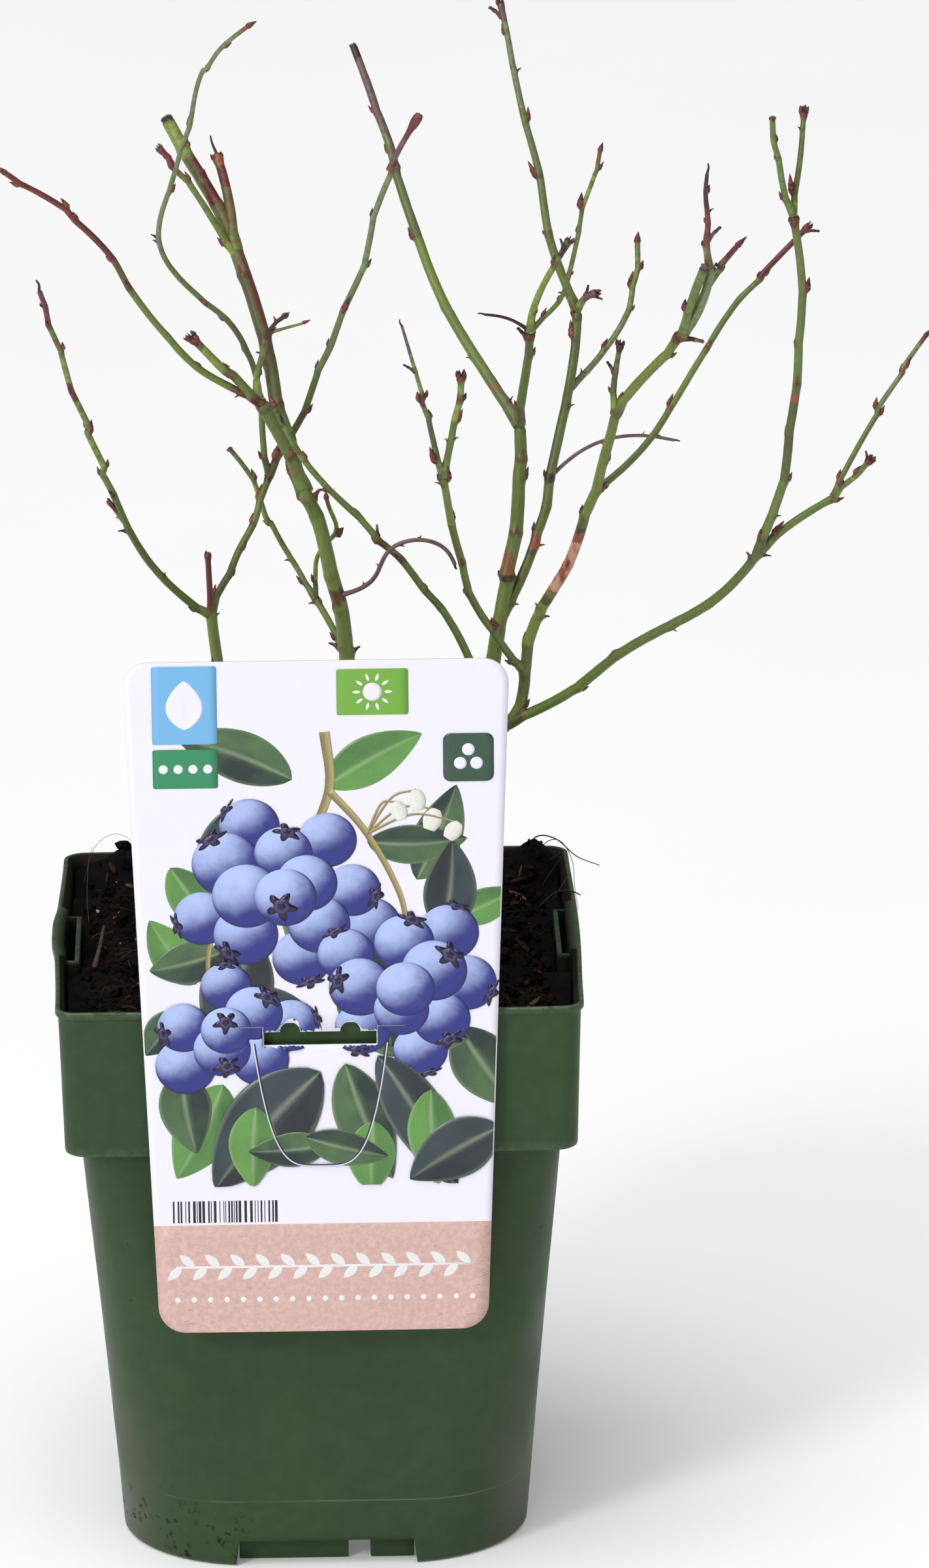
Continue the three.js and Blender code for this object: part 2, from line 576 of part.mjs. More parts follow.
/** The buds of a stretch of limb: each turns two fifths of a circle on from the last, at seeded
 *  steps, and a few have grown out as short spurs. A spur that would near another limb is skipped. */
function budSolids(limb, from, to, grow, others) {
  const random = seededRandom(limb.seed);
  const lean = THREE.MathUtils.degToRad(BUD.lean);
  const buds = [];
  let at = from * limb.length + BUD.margin;
  for (let count = 0; at < to * limb.length - BUD.margin; count += 1) {
    const share = at / limb.length;
    const { along, first, second } = across(limb, share);
    const angle = THREE.MathUtils.degToRad(BUD.turn * count + BUD.scatter * random());
    const out = first.clone().multiplyScalar(Math.cos(angle)).addScaledVector(second, Math.sin(angle));
    const direction = along.clone().multiplyScalar(Math.cos(lean)).addScaledVector(out, Math.sin(lean));
    const root = limb.curve.getPoint(share);
    const length = BUD.length * (random() < BUD.spurChance ? BUD.spur : 1);
    const reach = radiusAt(limb, share) / Math.sin(lean) + BUD.standOut * length;
    const tip = root.clone().addScaledVector(direction, reach);
    const isClear = !others.some((other) => isNear(other, tip, BUD.clear));
    if (isClear) buds.push(budSolid(root, direction, reach, grow));
    at += BUD.spacing * (BUD.shortest + BUD.spread * random());
  }
  return buds;
}

/** Whether a point lies within a distance of a limb's surface. */
function isNear(limb, point, distance) {
  for (let i = 0; i <= CURVE_STEPS; i += 1) {
    const share = i / CURVE_STEPS;
    if (limb.curve.getPoint(share).distanceTo(point) < distance + radiusAt(limb, share)) return true;
  }
  return false;
}

/** One node of the bush: a stretch of a limb, its buds, its end bud and the limbs fused to it. */
function stretchSolid(stretch, limbs, grow) {
  const parts = [];
  for (const [limb, from, to] of stretch.runs) {
    const others = [...limbs.values()].filter((other) => other !== limb);
    parts.push(limbSolid(limb, from, to, grow));
    parts.push(...budSolids(limb, from, to, grow, others));
    if (to === 1 && stretch.kind === 'twigs') {
      const { along } = across(limb, 1);
      const root = limb.curve.getPoint(1).addScaledVector(along, -BUD.radius);
      parts.push(budSolid(root, along, BUD.length, grow));
    }
  }
  const body = wasm.Manifold.union(parts);
  if (stretch.runs[0][0].on) return body;
  const { half, depth } = UNDERGROUND;
  return body.subtract(block([-half, -half, GROUND - depth], [half, half, GROUND]));
}

/** Splits the limbs into nodes: canes, boughs, and the masses of twigs past the boughs' ends. */
function listStretches(limbs) {
  const stretches = [];
  for (const limb of limbs.values()) {
    if (limb.fused) continue;
    const fused = [...limbs.values()].filter((other) => other.fused === limb.name);
    const runs = fused.map((other) => [other, 0, 1]);
    const isCane = !limb.on || limb.on === LIMBS[0].name;
    const kind = isCane ? 'cane' : 'bough';
    const name = isCane ? limb.name : `${limb.name}_bough`;
    const split = limb.twigs ?? 1;
    if (split === 1) {
      stretches.push({ name, kind, runs: [[limb, 0, 1], ...runs] });
      continue;
    }
    if (split > 0) stretches.push({ name, kind, runs: [[limb, 0, split]] });
    const start = split > 0 ? split + CLEAR / limb.length : 0;
    const mass = `${limb.name.replace('_twig', '')}_twigs`;
    stretches.push({ name: mass, kind: 'twigs', runs: [[limb, start, 1], ...runs] });
  }
  return stretches;
}

/** The biggest connected part of a solid. */
function mainBody(body) {
  return body.decompose().reduce((best, part) => (part.volume() > best.volume() ? part : best));
}

/** Whether two solids' boxes meet. */
function boxesMeet(a, b) {
  const one = a.boundingBox();
  const two = b.boundingBox();
  return [0, 1, 2].every((axis) => one.min[axis] <= two.max[axis] && two.min[axis] <= one.max[axis]);
}

/** Every node of the bush, each cut clear of the ones that it grows from or beside. */
function makeBush() {
  const limbs = growLimbs();
  const placed = [];
  return listStretches(limbs).map((stretch) => {
    let body = stretchSolid(stretch, limbs, 0);
    for (const other of placed) {
      if (boxesMeet(body, other)) body = body.subtract(other);
    }
    placed.push(stretchSolid(stretch, limbs, CLEAR));
    return piece(stretch.name, mainBody(body), FINISH[stretch.kind]);
  });
}

// ---------------------------------------------------------------- the whole

const bush = new THREE.Group();
bush.add(
  piece('pot', makePot(), FINISH.pot),
  piece('compost', makeCompost(), FINISH.compost),
  piece('card', makeCard(), FINISH.card),
  ...makeBush(),
);

export default bush;
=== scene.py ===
"""A young blueberry bush, bare in winter, in a square green nursery pot with a hanging picture card.

The script dresses the packed part and is laid out as a Blender add-on. Shapes are worked out with
numpy in millimetres, in the part's own frame: the origin is on the ground under the middle of the
pot, +Z is up and the card hangs on the -Y side. They are put into meshes in metres.
"""

import collections
import functools
import math

import bmesh
import bpy
import numpy as np
from bpy.props import FloatProperty, FloatVectorProperty, IntProperty, PointerProperty
from bpy.types import Operator, Panel, PropertyGroup
from mathutils import Matrix


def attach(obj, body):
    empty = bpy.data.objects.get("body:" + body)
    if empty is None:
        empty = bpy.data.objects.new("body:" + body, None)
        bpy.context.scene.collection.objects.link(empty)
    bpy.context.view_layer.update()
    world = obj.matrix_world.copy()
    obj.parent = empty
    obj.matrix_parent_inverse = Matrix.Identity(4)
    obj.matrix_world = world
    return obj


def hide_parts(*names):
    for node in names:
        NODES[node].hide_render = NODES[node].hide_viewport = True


bl_info = {
    "name": "Blueberry bush in a pot",
    "version": (1, 0, 0),
    "blender": (4, 5, 0),
    "location": "3D View > Sidebar > Bush",
    "description": "Makes a bare young blueberry bush in its nursery pot, piece by piece",
    "category": "Add Mesh",
}

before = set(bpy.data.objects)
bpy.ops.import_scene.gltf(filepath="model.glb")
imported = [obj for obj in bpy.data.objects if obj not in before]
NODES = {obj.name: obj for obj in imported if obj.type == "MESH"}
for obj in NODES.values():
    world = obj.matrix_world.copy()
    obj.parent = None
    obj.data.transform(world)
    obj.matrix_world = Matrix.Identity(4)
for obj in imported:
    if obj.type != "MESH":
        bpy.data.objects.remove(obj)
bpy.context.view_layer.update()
MM = 0.001
MERGE = 1e-6  # metres between points that are one

# ---------------------------------------------------------------- sizes and colours


def linear(red, green, blue):
    """A colour given as 0 to 255 on the screen, as the linear light that shaders take."""
    share = np.array([red, green, blue]) / 255
    curve = np.where(share <= 0.04045, share / 12.92, ((share + 0.055) / 1.055) ** 2.4)
    return tuple(float(value) for value in curve)


def length(name, millimetres, description):
    """A length property whose default is given in millimetres."""
    return FloatProperty(name=name, description=description, default=millimetres * MM, min=0.0, unit="LENGTH")


def colour(name, screen, description):
    """A colour property whose default is given as 0 to 255 on the screen."""
    return FloatVectorProperty(name=name, description=description, default=linear(*screen), subtype="COLOR",
                               size=3, min=0.0, max=1.0)


def plain_number(name, default, description):
    """A plain number property that isn't below 0."""
    return FloatProperty(name=name, description=description, default=default, min=0.0)


def bearing(name, degrees, description):
    """An angle property whose default is given in degrees."""
    return FloatProperty(name=name, description=description, default=math.radians(degrees), subtype="ANGLE")


def mm(value):
    """A length property's value in millimetres."""
    return value / MM


class PotSettings(PropertyGroup):
    """The square nursery pot."""

    height: length("Height", 152, "Height of the pot over the ground")
    rim_half: length("Half width", 65, "Half the width over the lip")
    wall: length("Wall", 1.4, "Thickness of the wall")
    warp: length("Warp", 0.35, "How far the thin wall waves in and out")
    plastic: colour("Plastic", (46, 71, 38), "Colour of the moulded plastic")
    shade: colour("Shaded plastic", (46, 67, 39), "Colour of the duller patches")
    dirt: colour("Dirt", (27, 22, 17), "Colour of dried compost on the wall")
    scuff: colour("Scuffs", (122, 136, 112), "Colour of the scratched edges")
    # Painted sheen: a grey-brown reflection laid into the colour of the lower side corners, not wear.
    worn: colour("Worn corners", (84, 84, 70), "Colour of the dull corners at the foot")


class CompostSettings(PropertyGroup):
    """The moist peat compost and what lies on it."""

    level: length("Level", 146.7, "Height of the compost over the ground")
    crumbs: IntProperty(name="Crumbs", description="How many crumbs lie on it", default=2100, min=0)
    fibres: IntProperty(name="Fibres", description="How many fibres lie on it", default=460, min=0)
    chips: IntProperty(name="Bark chips", description="How many bits of bark lie on it", default=150, min=0)
    peat: colour("Peat", (8, 6, 6), "Colour of the moist peat")
    brown: colour("Brown peat", (22, 16, 13), "Colour of its drier parts")
    fibre: colour("Fibre", (80, 50, 33), "Colour of the fibres")
    chip: colour("Bark chip", (92, 66, 46), "Colour of the bits of bark")


class CardSettings(PropertyGroup):
    """The picture card that hangs over the lip."""

    thick: length("Thickness", 0.5, "Thickness of the card")
    stock: colour("Card", (241, 239, 252), "Colour of the bare card")
    edge: colour("Cut edge", (215, 213, 222), "Colour of its cut edge")
    kraft: colour("Band", (206, 172, 164), "Colour of the brown band at its foot")
    panel: colour("Panel", (52, 84, 66), "Colour of the dark green panel")
    tile: colour("Tile", (118, 178, 62), "Colour of the bright green tile")
    sky: colour("Sky", (120, 186, 232), "Colour of the light blue tile")
    berry_light: colour("Berry bloom", (186, 204, 250), "Lit side of a printed berry")
    berry_deep: colour("Berry shade", (40, 48, 134), "Shaded side of a printed berry")
    leaf_light: colour("Light leaf", (104, 158, 78), "Lit side of a printed leaf")
    leaf_deep: colour("Dark leaf", (28, 48, 46), "Shaded side of a printed leaf")


class BushSettings(PropertyGroup):
    """The canes, boughs and twigs."""

    relief: plain_number("Relief", 0.035, "Share of the radius that the bark waves")
    node_swell: plain_number("Nodes", 0.2, "Share of the radius that a node swells")
    green: colour("Green bark", (100, 118, 54), "Colour of the young bark")
    bright: colour("Bright bark", (126, 142, 64), "Colour of the smooth sunny stretches")
    deep: colour("Deep green bark", (82, 90, 48), "Colour of the shaded older bark")
    # This grey-green is a real bark colour in some stretches and is also the painted sheen along the limbs'
    # upper side.
    sage: colour("Grey-green bark", (116, 126, 88), "Colour of the strip along the upper side")
    rust: colour("Rust", (98, 47, 36), "Colour of the nodes and collars")
    maroon: colour("Maroon", (112, 50, 50), "Colour of the reddened ends")
    orange: colour("Orange", (148, 84, 54), "Colour of the corky patches")
    peel: colour("Peeled bark", (206, 158, 138), "Colour of the long peeled scar")
    dark: colour("Dark bark", (60, 38, 38), "Colour of the dark rings")
    dead: colour("Dead wood", (108, 84, 84), "Colour of the dead wisps")
    woody: colour("Woody foot", (98, 80, 58), "Colour of the short stem")


class StageSettings(PropertyGroup):
    """The floor, the lights and the camera."""

    floor: colour("Floor", (246, 246, 247), "Colour of the floor")
    world: plain_number("Room light", 0.24, "Strength of the even light")
    sun: plain_number("Overhead light", 1.75, "Strength of the light from above")
    glow: plain_number("Floor glow", 0.16, "Strength of the light through the floor")
    key: plain_number("Key light", 42.0, "Strength of the main light")
    fill: plain_number("Fill light", 2.5, "Strength of the second light")
    elevation: bearing("Elevation", 17.37, "How far the camera looks down")
    yaw: bearing("Yaw", 1.2, "How far the camera turns to the right")
    roll: bearing("Roll", -0.48, "How far the camera leans")
    distance: length("Distance", 2265.7, "From the camera to the point that it aims at")
    lens: plain_number("Lens", 207.56, "Focal length of the camera in millimetres")


# The pot's other sizes, in millimetres, as in the part.
LIP = {"out": 0.7, "ease": 0.4, "wave": 0.35}
BAND = {"foot_half": 63.2, "corner": 5.0, "bow": 1.0}
BODY = {"top_half": 59.4, "top_corner": 10.0, "foot_half": 51.2, "foot_corner": 33.0}
FOOT = {"width": 6.0, "rise": 7.0, "notch_top": 22.0, "notch_foot": 22.8, "pad": 9.0}
INNER_FEET = {"spans": ((-22, 5.5), (11, 22)), "front": -46.3, "thick": 3.0}
POCKET = {"half": 18.0, "outer": 62.9, "inner": 60.7, "wall": 0.9, "top": 150.0, "hole": 16.7, "bulge": 0.8,
          "bulge_height": 12.0}
MOULD_LINE = {"height": 18.0, "half": 39.0, "proud": 0.12}

COMPOST = {"lump": 1.3, "fine": 0.8, "lengths": (7.0, 9.0, 4.3), "dip": 0.8, "calm": (10.0, 25.0),
           "ridge": 3.4}
# The compost's top outline, how far what lies on it may reach to each side, and how far its body stays
# clear of the wall.
BED = {"edge": 62.0, "corner": 3.6, "half": 61.5, "pocket": 58.5, "start": 59.0, "fibre": 61.0,
       "chip": 60.5, "clear": 1.8}
MOUNDS = ((-49, 56), (56, 56))
MOUND = {"height": 6.6, "radius": 5.6}
# The seed of each run of random draws.
DRAWS = {"crumbs": 4, "fibres": 11, "chips": 23, "buds": 17, "dry_bits": 41, "picture": 8, "foot": 31}

CARD = {"foot_z": 69.0, "top_z": 242.0, "foot_half": 40.6, "top_half": 47.0, "corner": 6.5, "front": -67.1}
SLOT = {"half": 13.8, "foot_z": 143.9, "top_z": 147.3, "thumb": 2.5, "thumb_at": 7.4}
CARD_CORNER = CARD["corner"] * (1 - np.cos(np.linspace(0, np.pi / 2, 9)))  # heights round a corner
HOOK = {"half": 13.0, "rim_z": 152.3, "foot_z": 128.0, "inner": -61.7, "bend": 1.6, "half_thick": 0.2}
LAYER = 0.004  # how far each printed shape lies over the one below it

# ---------------------------------------------------------------- the bush's limbs

# A row of the table of limbs. A limb grows on another, a share `at` of the way along it. Past the share
# `twigs` it is the stem of a mass of twigs, and a `fused` limb is part of that mass. `marks` are what
# stands out on it: the kind, how far along, the side and the length in millimetres. `tones` are
# stretches of another colour: the colour, where it starts and ends, how strong it is, and the side that
# it is on if it doesn't run all round.
limb = collections.namedtuple("limb", "name on tip radius at foot waves twigs fused marks tones",
                              defaults=(1.0, None, (), 1.0, None, (), ()))
LEFT, FRONT, RIGHT = 0, 90, 180  # degrees round a limb

# Each limb runs straight from its foot to its tip, plus half-waves across it: the first wave is its
# bow, the second its sway, the next ones its ripples. Millimetres.
LIMBS = (
    limb("short_stem", None, (3, 0, 157), (7.5, 5.5), foot=(3, 0, 143), tones=(("woody", -1, 2, 1),)),
    limb("left_cane", "short_stem", (-25.5, -12, 239), (1.9, 1.35), foot=(-1, 0, 153),
         waves=((-4, 0, -1), (1, 0, 0)),
         marks=(("thorn", 0.985, LEFT, 2), ("thorn", 0.985, RIGHT, 2), ("bud", 0.72, 60, 2)),
         tones=(("bright", 0.55, 1.1, 0.5),)),
    limb("dead_stub", "left_cane", (-26, -14, 254.5), (0.8, 0.7), at=0.99, fused="left_cane",
         tones=(("maroon", 0.12, 2, 0.95),)),
    limb("left_outer", "left_cane", (-65, -55, 332), (1, 0.65), at=0.985, twigs=0.48,
         waves=((-6.5, 0, -3.5), (-1.5, 0, -1.5), (-0.5, 0, -0.5)),
         marks=(("thorn", 0.17, RIGHT, 1.6), ("thorn", 0.325, LEFT, 3.2), ("bud", 0.485, LEFT, 2.2),
                ("bud", 0.5, RIGHT, 2.2), ("bud", 0.61, LEFT, 2.6), ("bud", 0.6, RIGHT, 3.4),
                ("bud", 0.72, 70, 2), ("bud", 0.83, RIGHT, 2.4), ("scales", 0.955, LEFT, 2)),
         tones=(("rust", 0.69, 0.75, 0.8), ("maroon", 0.82, 0.86, 0.5), ("maroon", 0.9, 1.1, 0.8))),
    limb("left_outer_spur", "left_outer", (-50, -30, 272.5), (0.65, 0.5), at=0.345, fused="left_outer",
         marks=(("thorn", 0.3, LEFT, 1.4),), tones=(("maroon", 0.4, 1.1, 0.8),)),
    limb("left_inner", "left_cane", (-10.5, 4, 269), (0.95, 0.85), at=0.985,
         waves=((0.5, 0, 0), (-0.5, 0, 0)),
         marks=(("bud", 0.3, RIGHT, 2), ("bud", 0.66, LEFT, 2.6), ("scales", 0.98, LEFT, 1.8),
                ("scales", 0.98, RIGHT, 2))),
    limb("left_top", "left_inner", (-14, -30, 390.5), (0.8, 0.55), twigs=0.5,
         waves=((-19, 4, 2.5), (6, 0, 0), (3, -0.5, 2), (0.5, 0, -0.5), (-2, 0, 0)),
         marks=(("bud", 0.325, LEFT, 2.5), ("thorn", 0.52, LEFT, 1.8), ("thorn", 0.53, LEFT, 2.2),
                ("bud", 0.713, RIGHT, 2.6), ("scales", 0.88, LEFT, 1.6), ("bud", 0.875, RIGHT, 2),
                ("bud", 0.94, RIGHT, 2.4)),
         tones=(("dead", 0.285, 0.315, 0.6), ("sage", 0.33, 1.0, 0.5), ("orange", 0.985, 1.1, 0.8))),
    limb("left_crossing", "left_inner", (27.5, -6, 362.5), (0.9, 0.7), twigs=0.57,
         waves=((1, 0, -0.5), (1, 0, -0.5), (-0.5, 0, 0), (0.5, 0, 0)),
         marks=(("bud", 0.19, RIGHT, 2.8), ("bud", 0.37, LEFT, 2), ("bud", 0.588, RIGHT, 2.6),
                ("bud", 0.72, LEFT, 2), ("scales", 0.85, RIGHT, 4.4), ("scales", 0.845, LEFT, 2.4)),
         tones=(("rust", 0.17, 0.2, 0.35), ("sage", 0.3, 0.84, 0.6), ("orange", 0.835, 0.86, 0.6, LEFT),
                ("dead", 0.86, 1.1, 0.6), ("maroon", 0.93, 1.1, 0.8))),
    limb("middle_cane", "short_stem", (-12.5, -14, 293), (2.3, 1.6), foot=(4, -2, 153),
         waves=((13, 0, 1.5), (-0.5, 0, -0.5), (0.5, 0, 0)),
         marks=(("thorn", 0.525, LEFT, 4.2), ("thorn", 0.515, RIGHT, 3.6), ("bud", 0.81, LEFT, 3.2),
                ("thorn", 0.805, RIGHT, 5), ("scales", 0.985, LEFT, 2.4), ("bud", 0.66, FRONT, 1.6)),
         tones=(("bright", 0.3, 0.85, 0.35), ("rust", 0.605, 0.635, 0.7))),
    limb("far_left", "middle_cane", (-73, -38, 357), (0.95, 0.7), twigs=0.78,
         waves=((-0.5, 0, -0.5), (-2.5, 0, -2.5)),
         marks=(("thorn", 0.06, LEFT, 2), ("bud", 0.2, RIGHT, 2), ("bud", 0.6, LEFT, 2),
                ("bud", 0.8, RIGHT, 3.4), ("bud", 0.76, RIGHT, 2.4), ("bud", 0.95, LEFT, 2.6)),
         tones=(("maroon", -0.1, 0.09, 0.75), ("bright", 0.1, 0.5, 0.5), ("rust", 0.5, 0.7, 0.35),
                ("maroon", 0.6, 1.1, 0.8), ("peel", 0.59, 0.6, 0.3))),
    limb("short_left", "middle_cane", (-29, -22, 311.5), (1.2, 0.95), at=0.995, twigs=0,
         marks=(("scales", 0.12, LEFT, 2.4), ("bud", 0.5, RIGHT, 3), ("bud", 0.42, LEFT, 2),
                ("scales", 0.97, LEFT, 3)),
         tones=(("rust", -0.1, 0.12, 0.7), ("maroon", 0.4, 0.55, 0.35), ("maroon", 0.86, 1.1, 0.75))),
    limb("middle_spur", "middle_cane", (-6, -20, 316), (1, 0.4), twigs=0,
         waves=((-3, 0, 1), (0.5, 0, -0.5), (-0.5, 0, 0)),
         marks=(("bud", 0.3, RIGHT, 2.2), ("twiglet", 0.77, RIGHT, 9), ("thorn", 0.9, LEFT, 2)),
         tones=(("rust", 0.35, 0.7, 0.35), ("dark", 0.68, 1.1, 0.85))),
    limb("middle_top", "middle_cane", (-35, 42, 351.5), (1.75, 1.65), at=0.82, twigs=0.66,
         waves=((4, 0, 1.5), (-1, 0, -0.5), (-0.5, 0, 0)),
         marks=(("bud", 0.33, LEFT, 3.4), ("thorn", 0.4, RIGHT, 3.6), ("thorn", 0.36, LEFT, 2.4),
                ("bud", 0.14, FRONT, 2.4), ("scales", 0.745, LEFT, 1.6), ("scales", 0.905, RIGHT, 3.4),
                ("thorn", 0.83, RIGHT, 1.2)),
         tones=(("maroon", 0.36, 0.41, 0.45), ("woody", 0.2, 0.74, 0.35),
                ("maroon", 0.42, 0.74, 0.6, RIGHT), ("rust", 0.745, 0.775, 0.8), ("maroon", 0.75, 0.8, 0.5),
                ("maroon", 0.76, 0.92, 1, RIGHT), ("dark", 0.76, 1, 0.5, RIGHT),
                ("bright", 0.88, 0.985, 0.7), ("dark", 0.98, 1.1, 0.9))),
    limb("middle_top_left", "middle_top", (-36.8, 26, 347.5), (0.9, 0.7), at=0.6, fused="middle_top",
         waves=((0.6, 0, 0.4),), marks=(("scales", 0.84, RIGHT, 2.6), ("scales", 0.9, LEFT, 2.6)),
         tones=(("maroon", 0.75, 1.1, 0.8),)),
    limb("middle_top_right", "middle_top", (-22.6, 35, 344), (1.4, 1.1), at=0.62, fused="middle_top",
         waves=((0.9, 0, 0.4),), marks=(("scales", 0.93, LEFT, 3), ("scales", 0.93, RIGHT, 2.6)),
         tones=(("rust", 0.25, 0.9, 0.5, RIGHT), ("rust", 0.64, 0.86, 0.6), ("orange", 0.88, 0.97, 0.7))),
    limb("back_thin", "middle_cane", (0.5, 2, 237.5), (0.9, 0.8), at=0.51, waves=((0.5, 0, 0),),
         marks=(("thorn", 0.97, LEFT, 2.6), ("bud", 0.9, RIGHT, 2))),
    limb("back_left", "back_thin", (-20.5, 14, 273.5), (0.75, 0.6), twigs=0,
         waves=((0, 1.5, -0.5), (-0.5, 0, 0), (0.5, 0, 0)),
         marks=(("thorn", 0.27, LEFT, 2), ("bud", 0.5, LEFT, 2.4), ("bud", 0.52, RIGHT, 2),
                ("bud", 0.78, RIGHT, 2.8)), tones=(("dead", 0.96, 1.1, 0.7),)),
    limb("back_up", "back_thin", (3.5, -14, 268), (0.6, 0.55), twigs=0,
         waves=((1.5, 2.5, 1), (-1.5, 0.5, 0.5), (0, 0, 0), (0.5, 0, 0)),
         tones=(("maroon", 0.9, 1.1, 0.5),)),
    limb("curled_dead", "middle_cane", (35, -20, 252), (0.6, 0.5), at=0.62, twigs=0,
         waves=((-1, -5.5, 8.5), (0.5, 0.5, -3.5), (1.5, 0.5, 0), (-0.5, 0, 0)),
         marks=(("thorn", 0.2, LEFT, 1.4), ("thorn", 0.4, LEFT, 1.4), ("thorn", 0.62, RIGHT, 1.6),
                ("thorn", 0.72, LEFT, 1.6)), tones=(("rust", -0.1, 0.06, 0.8), ("dead", 0.04, 2, 1))),
    limb("right_cane", "short_stem", (52, 12, 279), (2.5, 1.5), foot=(9, 2, 153),
         waves=((12.5, -3.5, -4), (0.5, 0, -0.5), (-0.5, 0.5, 0.5), (-1, 0, 0.5)),
         marks=(("scales", 0.718, LEFT, 2.4), ("scales", 0.718, RIGHT, 2.6), ("thorn", 0.63, LEFT, 2),
                ("bud", 0.8, FRONT, 2.2), ("bud", 0.9, RIGHT, 3.4)),
         tones=(("dark", 0.71, 0.725, 0.55), ("orange", 0.728, 0.765, 0.6), ("bright", 0.45, 0.7, 0.3))),
    limb("front_thin", "right_cane", (-9, -20, 293), (1.1, 0.7), at=0.44, twigs=0.79,
         waves=((7, -7.5, 1.5), (3, 1, 1), (0, 0, -0.5), (0.5, 0, 0)),
         marks=(("thorn", 0.2, RIGHT, 1.6), ("bud", 0.43, RIGHT, 2), ("bud", 0.6, LEFT, 2.6),
                ("stub", 0.615, RIGHT, 4), ("thorn", 0.775, LEFT, 3.2), ("bud", 0.86, RIGHT, 2.4)),
         tones=(("rust", 0.58, 0.605, 0.6), ("dark", 0.95, 1.1, 0.6), ("rust", 0.875, 0.9, 0.5))),
    limb("tall_left", "right_cane", (12, 62, 365), (1.45, 0.95), twigs=0.68,
         waves=((-4, 0, -2), (-1, 0, -0.5), (0.5, 0, 0)),
         marks=(("thorn", 0.06, RIGHT, 2), ("thorn", 0.2, LEFT, 2), ("bud", 0.51, LEFT, 3.8),
                ("bud", 0.68, RIGHT, 2.2), ("bud", 0.83, LEFT, 2.2)),
         tones=(("orange", 0.09, 0.115, 0.5), ("dead", 0.68, 0.9, 0.9, RIGHT), ("dead", 0.8, 1.1, 0.9),
                ("dark", 0.965, 1.1, 0.75), ("bright", 0.15, 0.5, 0.4))),
    limb("fork", "right_cane", (54.5, 4, 305), (1.15, 1.05),
         marks=(("scales", 0.97, LEFT, 2.2), ("scales", 0.97, RIGHT, 2.2), ("stub", 0.93, LEFT, 5)),
         tones=(("rust", 0.93, 1.05, 0.5),)),
    limb("fork_twig", "fork", (64, -4, 330), (0.95, 0.7), twigs=0, waves=((-1.5, 0, 0.5),),
         marks=(("bud", 0.2, RIGHT, 1.8), ("bud", 0.715, LEFT, 3), ("stub", 0.92, LEFT, 3.4)),
         tones=(("rust", 0.68, 0.75, 0.5), ("dark", 0.82, 1.1, 0.6))),
    limb("fork_thin", "fork", (71.5, -10, 354), (0.65, 0.55), fused="fork_twig",
         waves=((3, 0, -1.5), (1.5, 0, -0.5), (0.5, 0, 0)),
         marks=(("bud", 0.2, LEFT, 1.6), ("scales", 0.355, RIGHT, 1.8), ("bud", 0.7, LEFT, 4),
                ("bud", 0.9, RIGHT, 2.4)),
         tones=(("orange", 0.34, 0.36, 0.6), ("rust", 0.68, 0.72, 0.6), ("maroon", 0.93, 1.1, 0.6))),
    limb("fork_dead", "fork", (43, 0, 310.5), (0.45, 0.35), fused="fork_twig", waves=((0.5, 0, 1),),
         tones=(("dark", 0.05, 2, 0.9),)),
    limb("tall", "right_cane", (67, 28, 304), (1.3, 1.15), at=0.64,
         waves=((4, 0, -1.5), (0.5, 0, -0.5), (0.5, 0, 0)),
         marks=(("thorn", 0.06, RIGHT, 2.4), ("thorn", 0.26, RIGHT, 2.4), ("bud", 0.3, LEFT, 2.6),
                ("scales", 0.475, LEFT, 2.6), ("thorn", 0.7, RIGHT, 2), ("scales", 0.98, LEFT, 2.4)),
         tones=(("orange", 0.245, 0.295, 0.9), ("dark", 0.225, 0.243, 0.5), ("dark", 0.465, 0.49, 0.75))),
    limb("tall_upper", "tall", (49, 54, 377), (1.15, 0.7), twigs=0.59,
         waves=((-1.5, 0, -0.5), (-0.5, 0, 0), (-0.5, 0, 0)),
         marks=(("thorn", 0.06, LEFT, 2.8), ("scales", 0.255, LEFT, 1.8), ("bud", 0.44, LEFT, 4.2),
                ("bud", 0.62, RIGHT, 3.6), ("thorn", 0.78, RIGHT, 2), ("bud", 0.9, LEFT, 3),
                ("stub", 0.96, LEFT, 5)),
         tones=(("rust", -0.1, 0.03, 0.5), ("sage", 0.4, 1, 0.4), ("orange", 0.245, 0.262, 0.7),
                ("rust", 0.43, 0.45, 0.4), ("maroon", 0.62, 0.68, 0.3), ("dead", 0.93, 1.1, 0.8))),
    limb("tall_short", "tall", (72, 24, 309.5), (0.85, 0.75), twigs=0, waves=((-0.5, 0, 1),),
         marks=(("stub", 0.6, LEFT, 4), ("stub", 0.8, RIGHT, 3.6)), tones=(("dead", 0.35, 1.1, 0.6),)),
    limb("right_back", "tall", (83, 50, 316), (0.85, 0.7), at=0.75, twigs=0,
         waves=((4.5, 0, -2.5), (-0.5, 0, -0.5)),
         marks=(("bud", 0.33, LEFT, 3), ("thorn", 0.13, LEFT, 1.8), ("bud", 0.84, RIGHT, 2.8),
                ("bud", 0.6, RIGHT, 1.8)), tones=(("rust", 0.32, 0.34, 0.4), ("maroon", 0.95, 1.1, 0.5))),
    limb("long_dead", "tall", (91.5, 32, 269), (0.5, 0.4), at=0.475, twigs=0,
         waves=((-1, 0.5, 5), (-0.5, 0, 0)),
         marks=(("thorn", 0.45, RIGHT, 1.2), ("thorn", 0.75, LEFT, 1.4)),
         tones=(("rust", -0.1, 0.05, 0.7), ("dead", 0.03, 2, 1), ("dark", 0.04, 2, 0.25))),
    limb("right_middle", "right_cane", (74.5, -24, 291), (1.5, 1.2), at=0.4,
